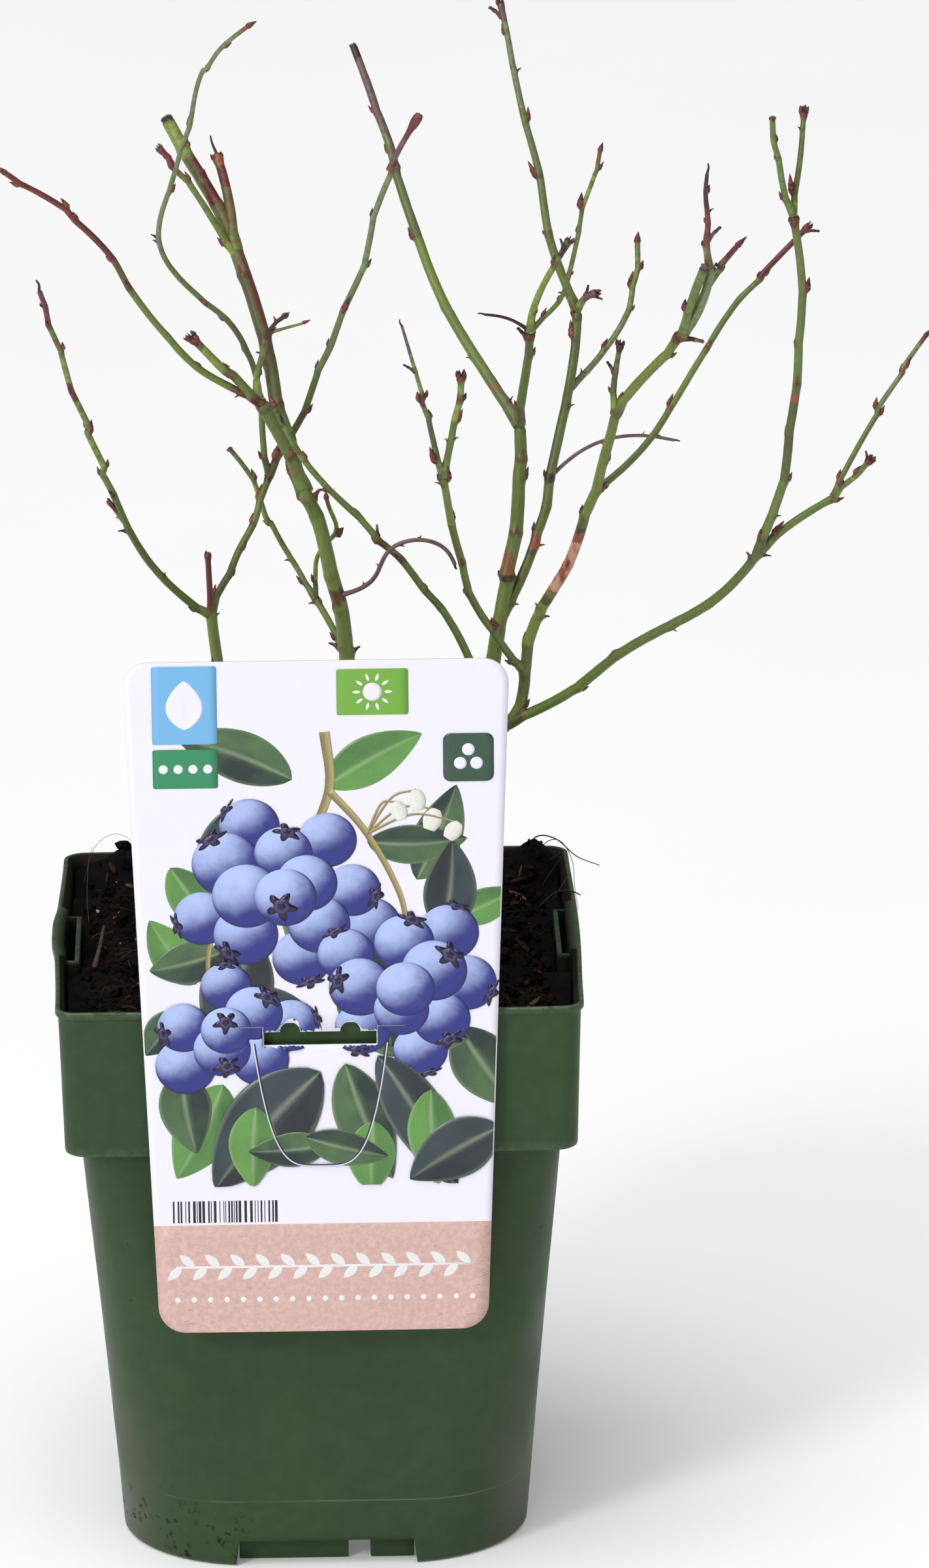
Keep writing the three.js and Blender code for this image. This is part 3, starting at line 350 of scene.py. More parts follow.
         waves=((4, 3.5, -2), (0.5, 0, -1), (1.5, -0.5, -1), (1, 0, -1), (0.5, 0, -0.5)),
         marks=(("thorn", 0.25, LEFT, 2.2), ("thorn", 0.4, RIGHT, 3), ("thorn", 0.42, LEFT, 2),
                ("bud", 0.56, 70, 2.4), ("bud", 0.775, RIGHT, 3.4), ("thorn", 0.79, RIGHT, 2.6)),
         tones=(("dark", 0.44, 0.46, 0.55), ("orange", 0.46, 0.5, 0.6), ("peel", 0.485, 0.63, 0.95),
                ("orange", 0.63, 0.665, 0.85), ("dark", 0.665, 0.68, 0.5), ("bright", 0.7, 1, 0.4),
                ("dark", 0.2, 0.25, 0.3))),
    limb("centre", "right_middle", (32, -34, 278.5), (1, 0.95), at=0.255,
         waves=((-4.5, 0, -1.5), (-0.5, 0, -0.5)),
         marks=(("thorn", 0.97, LEFT, 2.2), ("bud", 0.98, RIGHT, 4.4), ("bud", 0.985, LEFT, 2.6),
                ("bud", 0.45, LEFT, 1.8)), tones=(("bright", 0.5, 0.95, 0.3),)),
    limb("centre_twig", "centre", (22, -46, 320), (0.85, 0.35), twigs=0,
         marks=(("scales", 0.5, LEFT, 3.6), ("scales", 0.52, RIGHT, 3.4), ("stub", 0.7, LEFT, 4)),
         tones=(("dark", 0.12, 0.4, 0.3), ("rust", 0.47, 0.55, 0.9), ("bright", 0.56, 0.75, 0.3),
                ("dead", 0.8, 1.1, 0.8))),
    limb("centre_side", "centre", (36.5, -38, 305), (0.9, 0.8), fused="centre_twig", waves=((0.5, 0, 0),),
         marks=(("thorn", 0.35, LEFT, 1.8), ("thorn", 0.38, RIGHT, 1.8), ("bud", 0.55, RIGHT, 3.4),
                ("scales", 0.76, RIGHT, 3), ("scales", 0.98, LEFT, 3)),
         tones=(("peel", 0.7, 0.72, 0.6), ("rust", 0.74, 0.8, 0.7), ("maroon", 0.93, 1.1, 0.7))),
    limb("long_right", "right_middle", (124, 12, 329), (0.9, 0.7), at=0.775, twigs=0.77,
         waves=((0, 0, 0), (1.5, 0, -1.5), (0.5, 0, -0.5)),
         marks=(("scales", 0.02, RIGHT, 2.2), ("thorn", 0.24, RIGHT, 1.6), ("bud", 0.33, LEFT, 3),
                ("scales", 0.785, LEFT, 2.6), ("bud", 0.8, RIGHT, 3), ("stub", 0.985, RIGHT, 4)),
         tones=(("rust", -0.1, 0.03, 0.7), ("orange", 0.32, 0.34, 0.6), ("rust", 0.78, 0.81, 0.6),
                ("maroon", 0.79, 1.1, 0.8), ("dark", 0.8, 0.98, 0.45))),
    limb("right_spur", "right_middle", (75.5, -31, 310.5), (0.9, 0.6), twigs=0, waves=((-0.5, 0, 0),),
         marks=(("bud", 0.33, LEFT, 1.8), ("stub", 0.62, LEFT, 5), ("scales", 0.97, LEFT, 3),
                ("scales", 0.98, RIGHT, 2.6)), tones=(("rust", -0.1, 0.1, 0.6), ("dark", 0.85, 1.1, 0.6))),
    limb("right_upper", "right_middle", (97, -46, 333.5), (1.2, 1.1), twigs=0.55,
         waves=((2.5, 0, -1), (-1, 0, 0.5)),
         marks=(("scales", 0.55, LEFT, 2.4), ("stub", 0.57, RIGHT, 5.4), ("scales", 0.57, RIGHT, 2.6)),
         tones=(("bright", 0.05, 0.5, 0.5), ("rust", 0.53, 0.58, 0.6), ("sage", 0.6, 1.1, 0.5))),
    limb("right_upper_tall", "right_upper", (95.5, -54, 358.5), (0.95, 0.45), at=0.96, fused="right_upper",
         waves=((-0.5, 0, 0),),
         marks=(("scales", 0.28, LEFT, 2.4), ("stub", 0.36, RIGHT, 5), ("bud", 0.5, LEFT, 1.6),
                ("thorn", 0.62, RIGHT, 1.8)),
         tones=(("peel", 0.24, 0.27, 0.5), ("maroon", 0.28, 0.68, 0.8), ("dark", 0.66, 1.1, 0.85))),
    limb("right_upper_side", "right_upper", (103.5, -40, 337), (0.95, 0.7), at=0.65, fused="right_upper",
         waves=((-1, 0, 0.5),), marks=(("scales", 0.72, LEFT, 2), ("scales", 0.72, RIGHT, 2)),
         tones=(("rust", 0.7, 0.75, 0.5), ("maroon", 0.76, 1.1, 0.85))),
    limb("low_arch", "right_middle", (110, -28, 257), (1.3, 1.15), at=0.11,
         waves=((1.5, 0, -2.5), (-0.5, 0, 0.5), (0.5, 0, -1)),
         marks=(("thorn", 0.62, RIGHT, 2), ("thorn", 0.965, LEFT, 3.2), ("thorn", 0.99, RIGHT, 3.4))),
    limb("low_arch_outer", "low_arch", (128, -24, 269), (1.05, 0.9), waves=((-0.5, 0, 0.5),),
         marks=(("scales", 0.985, LEFT, 2.6), ("bud", 0.99, RIGHT, 3)),
         tones=(("rust", 0.97, 1.05, 0.5), ("peel", 0.955, 0.97, 0.3))),
    limb("low_arch_twig", "low_arch_outer", (152.5, 4, 302.5), (0.75, 0.6), twigs=0, waves=((-1, 0, 0.5),),
         marks=(("bud", 0.53, LEFT, 3), ("bud", 0.51, RIGHT, 2.8), ("bud", 0.77, LEFT, 2),
                ("bud", 0.79, RIGHT, 3)), tones=(("orange", 0.75, 0.79, 0.6), ("maroon", 0.95, 1.1, 0.8))),
    limb("low_arch_side", "low_arch_outer", (136.5, -34, 281.5), (0.8, 0.7), fused="low_arch_twig",
         marks=(("bud", 0.6, LEFT, 3.6), ("scales", 0.95, RIGHT, 3), ("stub", 0.96, LEFT, 4)),
         tones=(("peel", 0.5, 0.53, 0.4), ("maroon", 0.9, 1.1, 0.7))),
    limb("far_right", "low_arch", (116.5, -48, 346.5), (1.2, 0.95), at=0.985,
         waves=((5.5, 0, -0.5), (0, 0, 0), (0.5, 0, 0)),
         marks=(("thorn", 0.12, RIGHT, 2), ("bud", 0.63, LEFT, 1.6), ("bud", 0.78, RIGHT, 4),
                ("scales", 0.98, LEFT, 2.6), ("scales", 0.98, RIGHT, 2.6)),
         tones=(("orange", 0.46, 0.49, 0.85), ("rust", 0.97, 1.05, 0.6), ("bright", 0.5, 0.95, 0.25))),
    limb("far_right_twig", "far_right", (111, -56, 372.5), (0.8, 0.7), twigs=0, waves=((-1, 0, 0),),
         marks=(("bud", 0.57, LEFT, 2),),
         tones=(("bright", 0, 1, 0.2), ("rust", 0.55, 0.6, 0.5), ("rust", 0.97, 1.1, 0.7))),
    limb("far_right_side", "far_right", (119.5, -40, 370), (0.8, 0.6), fused="far_right_twig",
         waves=((0.5, 0, 0),),
         marks=(("thorn", 0.83, LEFT, 1.6), ("scales", 0.97, LEFT, 3.2), ("scales", 0.99, RIGHT, 2.8)),
         tones=(("rust", 0.8, 0.84, 0.3), ("maroon", 0.93, 1.1, 0.8))),
    limb("right_upper_cut", "right_upper", (95.2, -48, 334), (1.15, 1.1), at=0.57, fused="right_upper",
         waves=((-0.2, 0, 0.2),), marks=(("bud", 0.35, LEFT, 4),),
         tones=(("green", 0.1, 0.9, 0.6), ("dark", 0.94, 1.1, 0.6))),
)

# How a limb ends where it isn't in a pointed bud: broken, cut across, in torn scales or in a dead
# thread. The order is that of the random draws.
ENDS = {
    "dead_stub": ("scales", 1.6), "left_outer": ("thread", 3.6), "left_crossing": ("flare", 1),
    "middle_spur": ("scales", 3), "short_left": ("scales", 3), "middle_top": ("cut", 1),
    "middle_top_right": ("thread", 5), "middle_top_left": ("scales", 2.4),
    "left_outer_spur": ("scales", 2.2), "back_left": ("cut", 1), "curled_dead": ("thread", 1.5),
    "tall_left": ("cut", 1), "fork_twig": ("scales", 3), "fork_dead": ("thread", 2),
    "tall_upper": ("scales", 3.6), "tall_short": ("scales", 3), "long_dead": ("thread", 2),
    "centre_twig": ("thread", 2), "centre_side": ("scales", 3.6), "right_spur": ("scales", 3),
    "right_upper": ("scales", 1.6), "right_upper_cut": ("cut", 1), "right_upper_tall": ("thread", 3),
    "low_arch_side": ("scales", 3), "far_right_twig": ("cut", 1), "far_right_side": ("scales", 3.2),
    "long_right": ("scales", 2.4),
}

# The source's rule for buds, in millimetres and degrees.
BUD = {"length": 2.6, "turn": 144, "scatter": 40, "spacing": 15, "shortest": 0.75, "spread": 0.5,
       "margin": 5, "spur_chance": 0.14, "spur": 1.7}
SEED = {"first": 71, "step": 977}
NUDGE = 0.01  # how far ahead and behind a limb's direction is measured
GROUND = 147.0  # the flat cut under the short stem
FLARE = {"share": 0.45, "height": 4.0}
KINK = {"kinds": ("bud", "scales", "twiglet"), "size": 0.36, "clear": 3.0}
WITHOUT_BUDS = ("short_stem", "dead_stub", "curled_dead", "long_dead", "fork_dead")
NEAR_MARK = 5.0  # a ruled bud this near to a marked one is left out


# ---------------------------------------------------------------- arrays


def unit(vectors):
    """Each vector divided by its length."""
    return vectors / np.maximum(np.linalg.norm(vectors, axis=-1, keepdims=True), 1e-9)


def smooth(low, high, values):
    """0 below low and 1 above high, with 3t^2 - 2t^3 between them."""
    share = np.clip((values - low) / (high - low), 0, 1)
    return share * share * (3 - 2 * share)


def lerp(start, end, share):
    """Straight from start to end as the share goes from 0 to 1."""
    return start + (end - start) * share


def mix(one, other, share):
    """A blend of two colours, or of two arrays of colours."""
    share = np.asarray(share)[..., None]
    return np.asarray(one) * (1 - share) + np.asarray(other) * share


def hashed(cells):
    """A fixed number from 0 to 1 for each cell of a lattice: its whole numbers times large primes,
    mixed by shifts and a product."""
    word = 0xFFFFFFFF
    value = (cells[..., 0] * 73856093) ^ (cells[..., 1] * 19349663) ^ (cells[..., 2] * 83492791)
    value = value & word
    value = ((value ^ (value >> 15)) * 0x2C1B3C6D) & word
    value = ((value ^ (value >> 12)) * 0x297A2D39) & word
    return (value ^ (value >> 15)) / (word + 1)


def noise(points, size, seed=0):
    """Noise from -1 to 1: the fixed numbers at the eight corners of the cell round each point, blended
    by 3t^2 - 2t^3 along each axis."""
    scaled = np.asarray(points) / size + 31.7 * seed
    base = np.floor(scaled).astype(np.int64)
    part = scaled - base
    part = part * part * (3 - 2 * part)
    total = 0
    for corner in np.ndindex(2, 2, 2):
        offset = np.array(corner)
        weight = np.prod(np.where(offset == 1, part, 1 - part), axis=-1)
        total = total + weight * hashed(base + offset)
    return 2 * total - 1


def rough(points, size, octaves, seed):
    """A sum of noises, each half as wide and half as high as the one before."""
    return sum(noise(points, size / 2 ** k, seed + k) / 2 ** k for k in range(octaves))


def circle(sides):
    """The angles of evenly spaced points round a circle."""
    return 2 * np.pi * np.arange(sides) / sides


def across(along):
    """Two directions square to each given one and to each other."""
    lean = np.abs(along[..., 1:2]) > 0.9
    first = unit(np.cross(along, np.where(lean, np.array([1.0, 0, 0]), np.array([0, 1.0, 0]))))
    return first, np.cross(along, first)


def quarter_turn(turn):
    """The matrix that turns rows of x, y and z about the pot's axis by a number of quarter turns."""
    angle = turn * np.pi / 2
    return np.array([[np.cos(angle), np.sin(angle), 0], [-np.sin(angle), np.cos(angle), 0], [0, 0, 1]])


# ---------------------------------------------------------------- skins


class Skin:
    """Points, faces of three or four corners (a triangle's last is -1), the tone of each point and
    the finish of each face, which is its place in the piece's list of materials."""

    def __init__(self, points, faces, tone=(0.5, 0.5, 0.5), finish=0):
        self.points = np.asarray(points, float).reshape(-1, 3)
        self.faces = np.asarray(faces, int).reshape(-1, 4)
        self.tone = np.broadcast_to(tone, self.points.shape)
        self.finish = np.broadcast_to(finish, len(self.faces))


def joined(skins):
    """Several skins as one."""
    starts = np.cumsum([0] + [len(skin.points) for skin in skins])
    faces = [np.where(skin.faces >= 0, skin.faces + start, -1) for skin, start in zip(skins, starts)]
    return Skin(np.vstack([skin.points for skin in skins]), np.vstack(faces),
                np.vstack([skin.tone for skin in skins]), np.concatenate([skin.finish for skin in skins]))


def grid(points, wrap=True, first=False, last=False, tone=(0.5, 0.5, 0.5), finish=0):
    """A skin over rows of points. `wrap` joins each row's end to its start, and `first` and `last`
    close the end rows with a fan round their middle. `finish` is one number or one for each face."""
    rows, columns = points.shape[:2]
    index = np.arange(rows * columns).reshape(rows, columns)
    left = index if wrap else index[:, :-1]
    right = np.roll(index, -1, axis=1) if wrap else index[:, 1:]
    faces = [np.stack([left[:-1], right[:-1], right[1:], left[1:]], axis=-1).reshape(-1, 4)]
    finishes = [np.broadcast_to(finish, (rows - 1, left.shape[1])).reshape(-1)]
    flat = [points.reshape(-1, 3)]
    tones = [np.broadcast_to(tone, points.shape).reshape(-1, 3)]
    middle = rows * columns
    for row, closed, here, following in ((0, first, right, left), (-1, last, left, right)):
        if not closed:
            continue
        fan = np.full((left.shape[1], 4), -1)
        fan[:, 0] = here[row]
        fan[:, 1] = following[row]
        fan[:, 2] = middle
        faces.append(fan)
        finishes.append(finishes[0].reshape(rows - 1, -1)[row])
        flat.append(points[row].mean(axis=0)[None])
        tones.append(np.broadcast_to(tone, points.shape)[row].mean(axis=0)[None])
        middle += 1
    return Skin(np.vstack(flat), np.vstack(faces), np.vstack(tones), np.concatenate(finishes))


def copies(shape, places, axes, sizes, finish):
    """A shape put down many times. Each copy has its own place, its own three directions and its own
    size along each of them: point = place + sum of coordinate * size * direction. Its finish is added
    to the shape's own."""
    scaled = shape.points[None] * np.asarray(sizes)[:, None, :]
    points = np.asarray(places)[:, None, :] + np.einsum("npk,nkj->npj", scaled, axes)
    count = len(points)
    shift = (np.arange(count) * len(shape.points))[:, None, None]
    faces = np.where(shape.faces[None] >= 0, shape.faces[None] + shift, -1)
    added = np.repeat(np.broadcast_to(finish, count), len(shape.faces))
    return Skin(points, faces, np.tile(shape.tone, (count, 1)), np.tile(shape.finish, count) + added)


def tubes(centres, radii, sides, finish):
    """Many closed tubes at once. Tube n's ring r is a circle of radius radii[n, r] round centres[n, r],
    square to the line that joins the rings."""
    first, second = across(unit(np.gradient(centres, axis=1)))
    angle = circle(sides)[:, None]
    ring = first[:, :, None] * np.cos(angle) + second[:, :, None] * np.sin(angle)
    points = centres[:, :, None] + radii[:, :, None, None] * ring
    kinds = np.broadcast_to(finish, len(points))
    return joined([grid(tube, first=True, last=True, finish=kind) for tube, kind in zip(points, kinds)])


def frames(along, turn):
    """Three square directions for each copy: two across it, turned round it by an angle, and along it."""
    along = unit(along)
    first, second = across(along)
    turn = np.asarray(turn)[:, None]
    return np.stack([first * np.cos(turn) + second * np.sin(turn),
                     second * np.cos(turn) - first * np.sin(turn), along], axis=1)


def put(name, skin, materials, nodes=(), sharp=False, mend=False):
    """Makes a piece of a skin. The object sits at the origin with its place in its mesh, rides on the body
    and stands for the nodes that it replaces. `mend` merges doubles, drops faces of no size and turns every
    closed body's faces outwards."""
    mesh = bpy.data.meshes.new(name)
    mesh.vertices.add(len(skin.points))
    mesh.vertices.foreach_set("co", (skin.points * MM).astype(np.float32).ravel())
    is_corner = skin.faces >= 0
    counts = is_corner.sum(axis=1)
    mesh.loops.add(int(counts.sum()))
    mesh.loops.foreach_set("vertex_index", skin.faces[is_corner].astype(np.int32))
    mesh.polygons.add(len(skin.faces))
    mesh.polygons.foreach_set("loop_start", (np.cumsum(counts) - counts).astype(np.int32))
    mesh.update(calc_edges=True)
    mesh.polygons.foreach_set("material_index", skin.finish.astype(np.int32))
    mesh.polygons.foreach_set("use_smooth", np.full(len(skin.faces), not sharp))
    tone = np.concatenate([skin.tone, np.ones((len(skin.points), 1))], axis=1)
    kept = mesh.attributes.new("tone", "FLOAT_COLOR", "POINT")
    kept.data.foreach_set("color", tone.astype(np.float32).ravel())
    if mend:
        shape = bmesh.new()
        shape.from_mesh(mesh)
        bmesh.ops.remove_doubles(shape, verts=shape.verts, dist=MERGE)
        bmesh.ops.dissolve_degenerate(shape, edges=shape.edges, dist=MERGE)
        bmesh.ops.recalc_face_normals(shape, faces=shape.faces)
        shape.to_mesh(mesh)
        shape.free()
    for finish in materials:
        mesh.materials.append(finish)
    piece = bpy.data.objects.new(name, mesh)
    bpy.context.scene.collection.objects.link(piece)
    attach(piece, "root")
    if nodes:
        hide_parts(*nodes)
    return piece


# ---------------------------------------------------------------- finishes


class Finish:
    """A material under construction: a principled shader, the nodes that feed it and its base colour
    so far, which starts as a colour or as the name of one kept in the mesh."""

    def __init__(self, name, base, roughness, **shader):
        self.material = bpy.data.materials.new(name)
        self.material.use_nodes = True
        self.tree = self.material.node_tree
        self.shader = self.tree.nodes["Principled BSDF"]
        self.place = self.add("ShaderNodeTexCoord").outputs["Object"]
        self.base = self.attribute(base) if isinstance(base, str) else base
        self.set(Roughness=roughness, **shader)

    def set(self, **values):
        """Sets the shader's sockets to a value or to another node's output."""
        for key, value in values.items():
            self.feed(self.shader.inputs[key.replace("_", " ")], value)

    def feed(self, socket, value):
        """Gives a socket a value or another node's output."""
        if isinstance(value, bpy.types.NodeSocket):
            self.tree.links.new(value, socket)
        elif socket.type == "RGBA" and len(value) == 3:
            socket.default_value = (*value, 1)
        else:
            socket.default_value = value

    def add(self, kind, settings=None, inputs=None):
        """A new node with its settings and its inputs."""
        node = self.tree.nodes.new(kind)
        for key, value in (settings or {}).items():
            setattr(node, key, value)
        for key, value in (inputs or {}).items():
            self.feed(node.inputs[key], value)
        return node

    def coat(self, share, shade, kind="MIX"):
        """Lays another colour over the base colour."""
        settings = {"data_type": "RGBA", "blend_type": kind}
        self.base = self.add("ShaderNodeMix", settings, {0: share, 6: self.base, 7: shade}).outputs[2]
        self.set(Base_Color=self.base)

    def scaled(self, size, stretch=(1, 1, 1), shift=(0, 0, 0)):
        """The place in shares of a size in millimetres, stretched along the axes."""
        scale = [1 / (size * MM * part) for part in stretch]
        inputs = {"Vector": self.place, "Scale": scale, "Location": shift}
        return self.add("ShaderNodeMapping", None, inputs).outputs["Vector"]

    def noise(self, size, detail=3.0, roughness=0.55, stretch=(1, 1, 1), shift=(0, 0, 0)):
        """Noise of a size in millimetres, stretched along the axes, as a value from 0 to 1."""
        inputs = {"Vector": self.scaled(size, stretch, shift), "Scale": 1.0, "Detail": detail,
                  "Roughness": roughness}
        return self.add("ShaderNodeTexNoise", None, inputs).outputs["Fac"]

    def cells(self, size):
        """The distance to the nearest of many scattered points, in shares of their spacing."""
        inputs = {"Vector": self.scaled(size), "Scale": 1.0}
        return self.add("ShaderNodeTexVoronoi", None, inputs).outputs["Distance"]

    def range(self, value, low, high, start=0.0, end=1.0):
        """A value read from start to end as it goes from low to high, eased at both ends."""
        return self.add("ShaderNodeMapRange", {"interpolation_type": "SMOOTHSTEP"},
                        {"Value": value, "From Min": low, "From Max": high, "To Min": start,
                         "To Max": end}).outputs["Result"]

    def patches(self, size, low, high, *detail, **more):
        """Soft patches: noise of a size, from 0 at a low value of it to 1 at a high one."""
        return self.range(self.noise(size, *detail, **more), low, high)

    def arithmetic(self, operation, one, other=0.0):
        """Arithmetic on two values."""
        return self.add("ShaderNodeMath", {"operation": operation}, {0: one, 1: other}).outputs[0]

    def times(self, one, other):
        """The product of two values."""
        return self.arithmetic("MULTIPLY", one, other)

    def plus(self, one, other):
        """The sum of two values."""
        return self.arithmetic("ADD", one, other)

    def attribute(self, name):
        """A colour kept in the mesh."""
        return self.add("ShaderNodeAttribute", {"attribute_name": name}).outputs["Color"]

    def bump(self, height, strength, depth, under=None):
        """Relief of a depth in millimetres on the surface, over other relief if there is any."""
        inputs = {"Height": height, "Strength": strength, "Distance": depth * MM}
        if under is not None:
            inputs["Normal"] = under
        relief = self.add("ShaderNodeBump", None, inputs).outputs["Normal"]
        self.set(Normal=relief)
        return relief


def plain_finish(name, shade, roughness, size, spread, depth=0.1, **shader):
    """One colour that noise of a size makes darker and lighter, with relief of a depth."""
    paint = Finish(name, tuple(value * (1 - spread) for value in shade), roughness, **shader)
    paint.coat(paint.patches(size, 0.3, 0.7), tuple(min(1.0, value * (1 + spread)) for value in shade))
    paint.bump(paint.noise(size * 0.4, 4.0), 0.6, depth)
    return paint.material


def plastic_finish(pot):
    """Moulded plastic: its colour drifts a little, a fine mould line runs round it, its edges are rubbed, and
    dried compost clings low on one corner and behind the notches. The lower side corners get a painted
    grey-brown sheen, a reflection laid into the colour. Heights and distances from the middle are in metres,
    as the shader reads them."""
    paint = Finish("pot_plastic", pot.plastic, 0.42, Specular_IOR_Level=0.25)
    x, _, z = paint.add("ShaderNodeSeparateXYZ", None, {0: paint.place}).outputs
    cloud = paint.range(paint.noise(4, 4.0, 0.6), 0.35, 0.75, 0.0, 0.05)
    off_line = paint.arithmetic("ABSOLUTE", paint.arithmetic("SUBTRACT", z, MOULD_LINE["height"] * MM))
    line = paint.times(paint.range(off_line, 0.00028, 0.00008, 0.0, 0.38), paint.patches(22, 0.38, 0.6))
    # Painted sheen: low down on the side corners the colour is blended towards a grey-brown that stands for a
    # reflection.
    outwards = paint.range(paint.arithmetic("ABSOLUTE", x), 0.036, 0.052)
    corner = paint.times(outwards, paint.range(z, 0.055, 0.012, 0.0, 0.5))
    soiled = paint.times(paint.range(z, 0.024, 0.004), paint.plus(paint.range(x, -0.012, -0.03), 0.1))
    specks = paint.times(paint.patches(1.9, 0.56, 0.6, 3.0, 0.65), paint.patches(7, 0.46, 0.6))
    dirt = paint.times(soiled, specks)
    spots = paint.range(paint.cells(9), 0.05, 0.028)
    dots = paint.times(spots, paint.patches(11, 0.54, 0.58, 1.0, shift=(3, 1, 2)))
    rubbed, stained, _ = paint.add("ShaderNodeSeparateColor", None, {0: paint.attribute("tone")}).outputs
    rubbed = paint.times(paint.times(rubbed, paint.patches(2.2, 0.3, 0.62)), 0.6)
    stained = paint.times(stained, paint.patches(3.0, 0.05, 0.36, 4.0))
    dull = paint.patches(38, 0.35, 0.65, 2.0)
    for share, shade in ((dull, pot.shade), (cloud, pot.scuff), (line, pot.scuff), (corner, pot.worn),
                         (dirt, pot.dirt), (dots, pot.dirt), (rubbed, pot.scuff), (stained, pot.dirt)):
        paint.coat(share, shade)
    matt = paint.range(paint.noise(16), 0.3, 0.7, 0.4, 0.52)
    paint.set(Roughness=paint.plus(matt, paint.times(paint.plus(dirt, stained), 0.4)))
    grain = paint.bump(paint.noise(0.5, 2.0), 0.12, 0.02)
    paint.bump(paint.noise(12, 2.0), 0.3, 0.25, grain)
    return paint.material


def peat_finish(compost):
    """Moist peat: near black with browner drier clumps, rough, and wet enough to glint a little."""
    paint = Finish("peat", compost.peat, 0.85, Specular_IOR_Level=0.12)
    paint.coat(paint.patches(4.5, 0.45, 0.72, 5.0, 0.65), compost.brown)
    paint.bump(paint.noise(0.9, 5.0, 0.7), 1.0, 0.9)
    return paint.material


def card_finish(card):
    """Coated white card with the faintest mottle and a gloss."""
    paint = Finish("card_stock", card.stock, 0.3, Specular_IOR_Level=0.5)
    paint.coat(paint.range(paint.noise(6, 4.0), 0.3, 0.7, 0.0, 0.05), card.edge)
    paint.bump(paint.noise(14, 2.0), 0.2, 0.12)
    return paint.material


def ink_finish():
    """Printed ink in the colour kept in the mesh, with a fine grain, under the same gloss."""
    paint = Finish("printed_ink", "tone", 0.32, Specular_IOR_Level=0.5)
    grain = paint.range(paint.noise(0.35, 3.0, 0.7), 0.3, 0.7, 0.0, 0.16)
    paint.coat(grain, (0.04, 0.05, 0.06), "SOFT_LIGHT")
    paint.bump(paint.noise(14, 2.0), 0.2, 0.12)
    return paint.material


def kraft_finish(card):
    """Brown paper print: a warm brown with short darker and paler fibres across it."""
    paint = Finish("brown_band", card.kraft, 0.45, Specular_IOR_Level=0.4)
    paint.coat(paint.patches(1.6, 0.35, 0.7, 4.0, 0.7), tuple(min(1.0, value * 1.22) for value in card.kraft))
    fibres = paint.range(paint.noise(0.55, 2.0, 0.6, (3.2, 1, 1)), 0.63, 0.74, 0.0, 0.7)
    paint.coat(fibres, tuple(value * 0.55 for value in card.kraft))
    return paint.material


def bark_finish(name):
    """Living bark: the colour kept in the mesh, with fine long streaks, small pale corky dots and a
    waxy sheen."""
    paint = Finish(name, "tone", 0.42, Specular_IOR_Level=0.45)
    streaks = paint.range(paint.noise(0.5, 4.0, 0.6, (1, 1, 6)), 0.3, 0.7, 0.0, 0.35)
    paint.coat(streaks, (0.03, 0.045, 0.015), "SOFT_LIGHT")
    paint.coat(paint.range(paint.noise(1.7), 0.5, 0.75, 0.0, 0.3), (0.42, 0.5, 0.2), "OVERLAY")
    dots = paint.range(paint.cells(1.5), 0.16, 0.08, 0.0, 0.5)
    paint.coat(dots, (0.16, 0.085, 0.04))
    fine = paint.bump(paint.noise(0.35, 3.0, 0.6, (1, 1, 5)), 0.5, 0.06)
    paint.bump(dots, 0.5, 0.08, fine)
    return paint.material


# ---------------------------------------------------------------- pot

BAND_FOOT = 114.0
BAND_TOP = 150.0
SIDE_TURNS = (0, 1, 2, 3)  # quarter turns from the card's side
# Distances from a side's middle that every row has a place at.
SET_PLACES = np.array([0, 2, 4, 5.5, 7, 9, 11, 13, 15, POCKET["hole"], 18, 20, 21.95, FOOT["notch_top"],
                       24.0])
# The heights of the wall's rows below its band and on it.
BODY_HEIGHTS = np.concatenate([[1, 2, 3.3, 4.6, 5.8, 7, 9, 12, 15], [17.3, 17.75, 18, 18.25, 18.7],
                               np.linspace(22, 112, 31), [BAND_FOOT - 0.2]])
BAND_HEIGHTS = np.concatenate([[BAND_FOOT + 0.8], np.linspace(BAND_FOOT + 3, BAND_TOP - 1.5, 16), [BAND_TOP]])
NO_WEAR = (0.0, 0.0, 0.0)  # the tone of plastic that is neither scuffed nor stained
CORNER_STEPS = 22
STAINED = -1.0  # a row's scuffed share below 0 is the share that peat has stained


def half_side(half, corner, notch_share):
    """Half of one side of a square outline with round corners, from the side's middle to the corner's
    middle. Distances along it are set ones, then steps that narrow towards the corner. Returns the
    distances and each place's x, depth and outward direction."""
    straight = half - corner
    total = straight + corner * np.pi / 4
    steps = 1 - (1 - np.arange(1, CORNER_STEPS + 1) / CORNER_STEPS) ** 2
    distance = np.concatenate([SET_PLACES, lerp(SET_PLACES[-1], total, steps)])
    notch = lerp(FOOT["notch_foot"], FOOT["notch_top"], notch_share)
    place = np.where(distance == FOOT["notch_top"], notch, distance)
    angle = np.clip((place - straight) / corner, 0, None)
    x = np.minimum(place, straight) + corner * np.sin(angle)
    depth = straight + corner * np.cos(angle)
    return distance, x, depth, np.sin(angle), np.cos(angle)


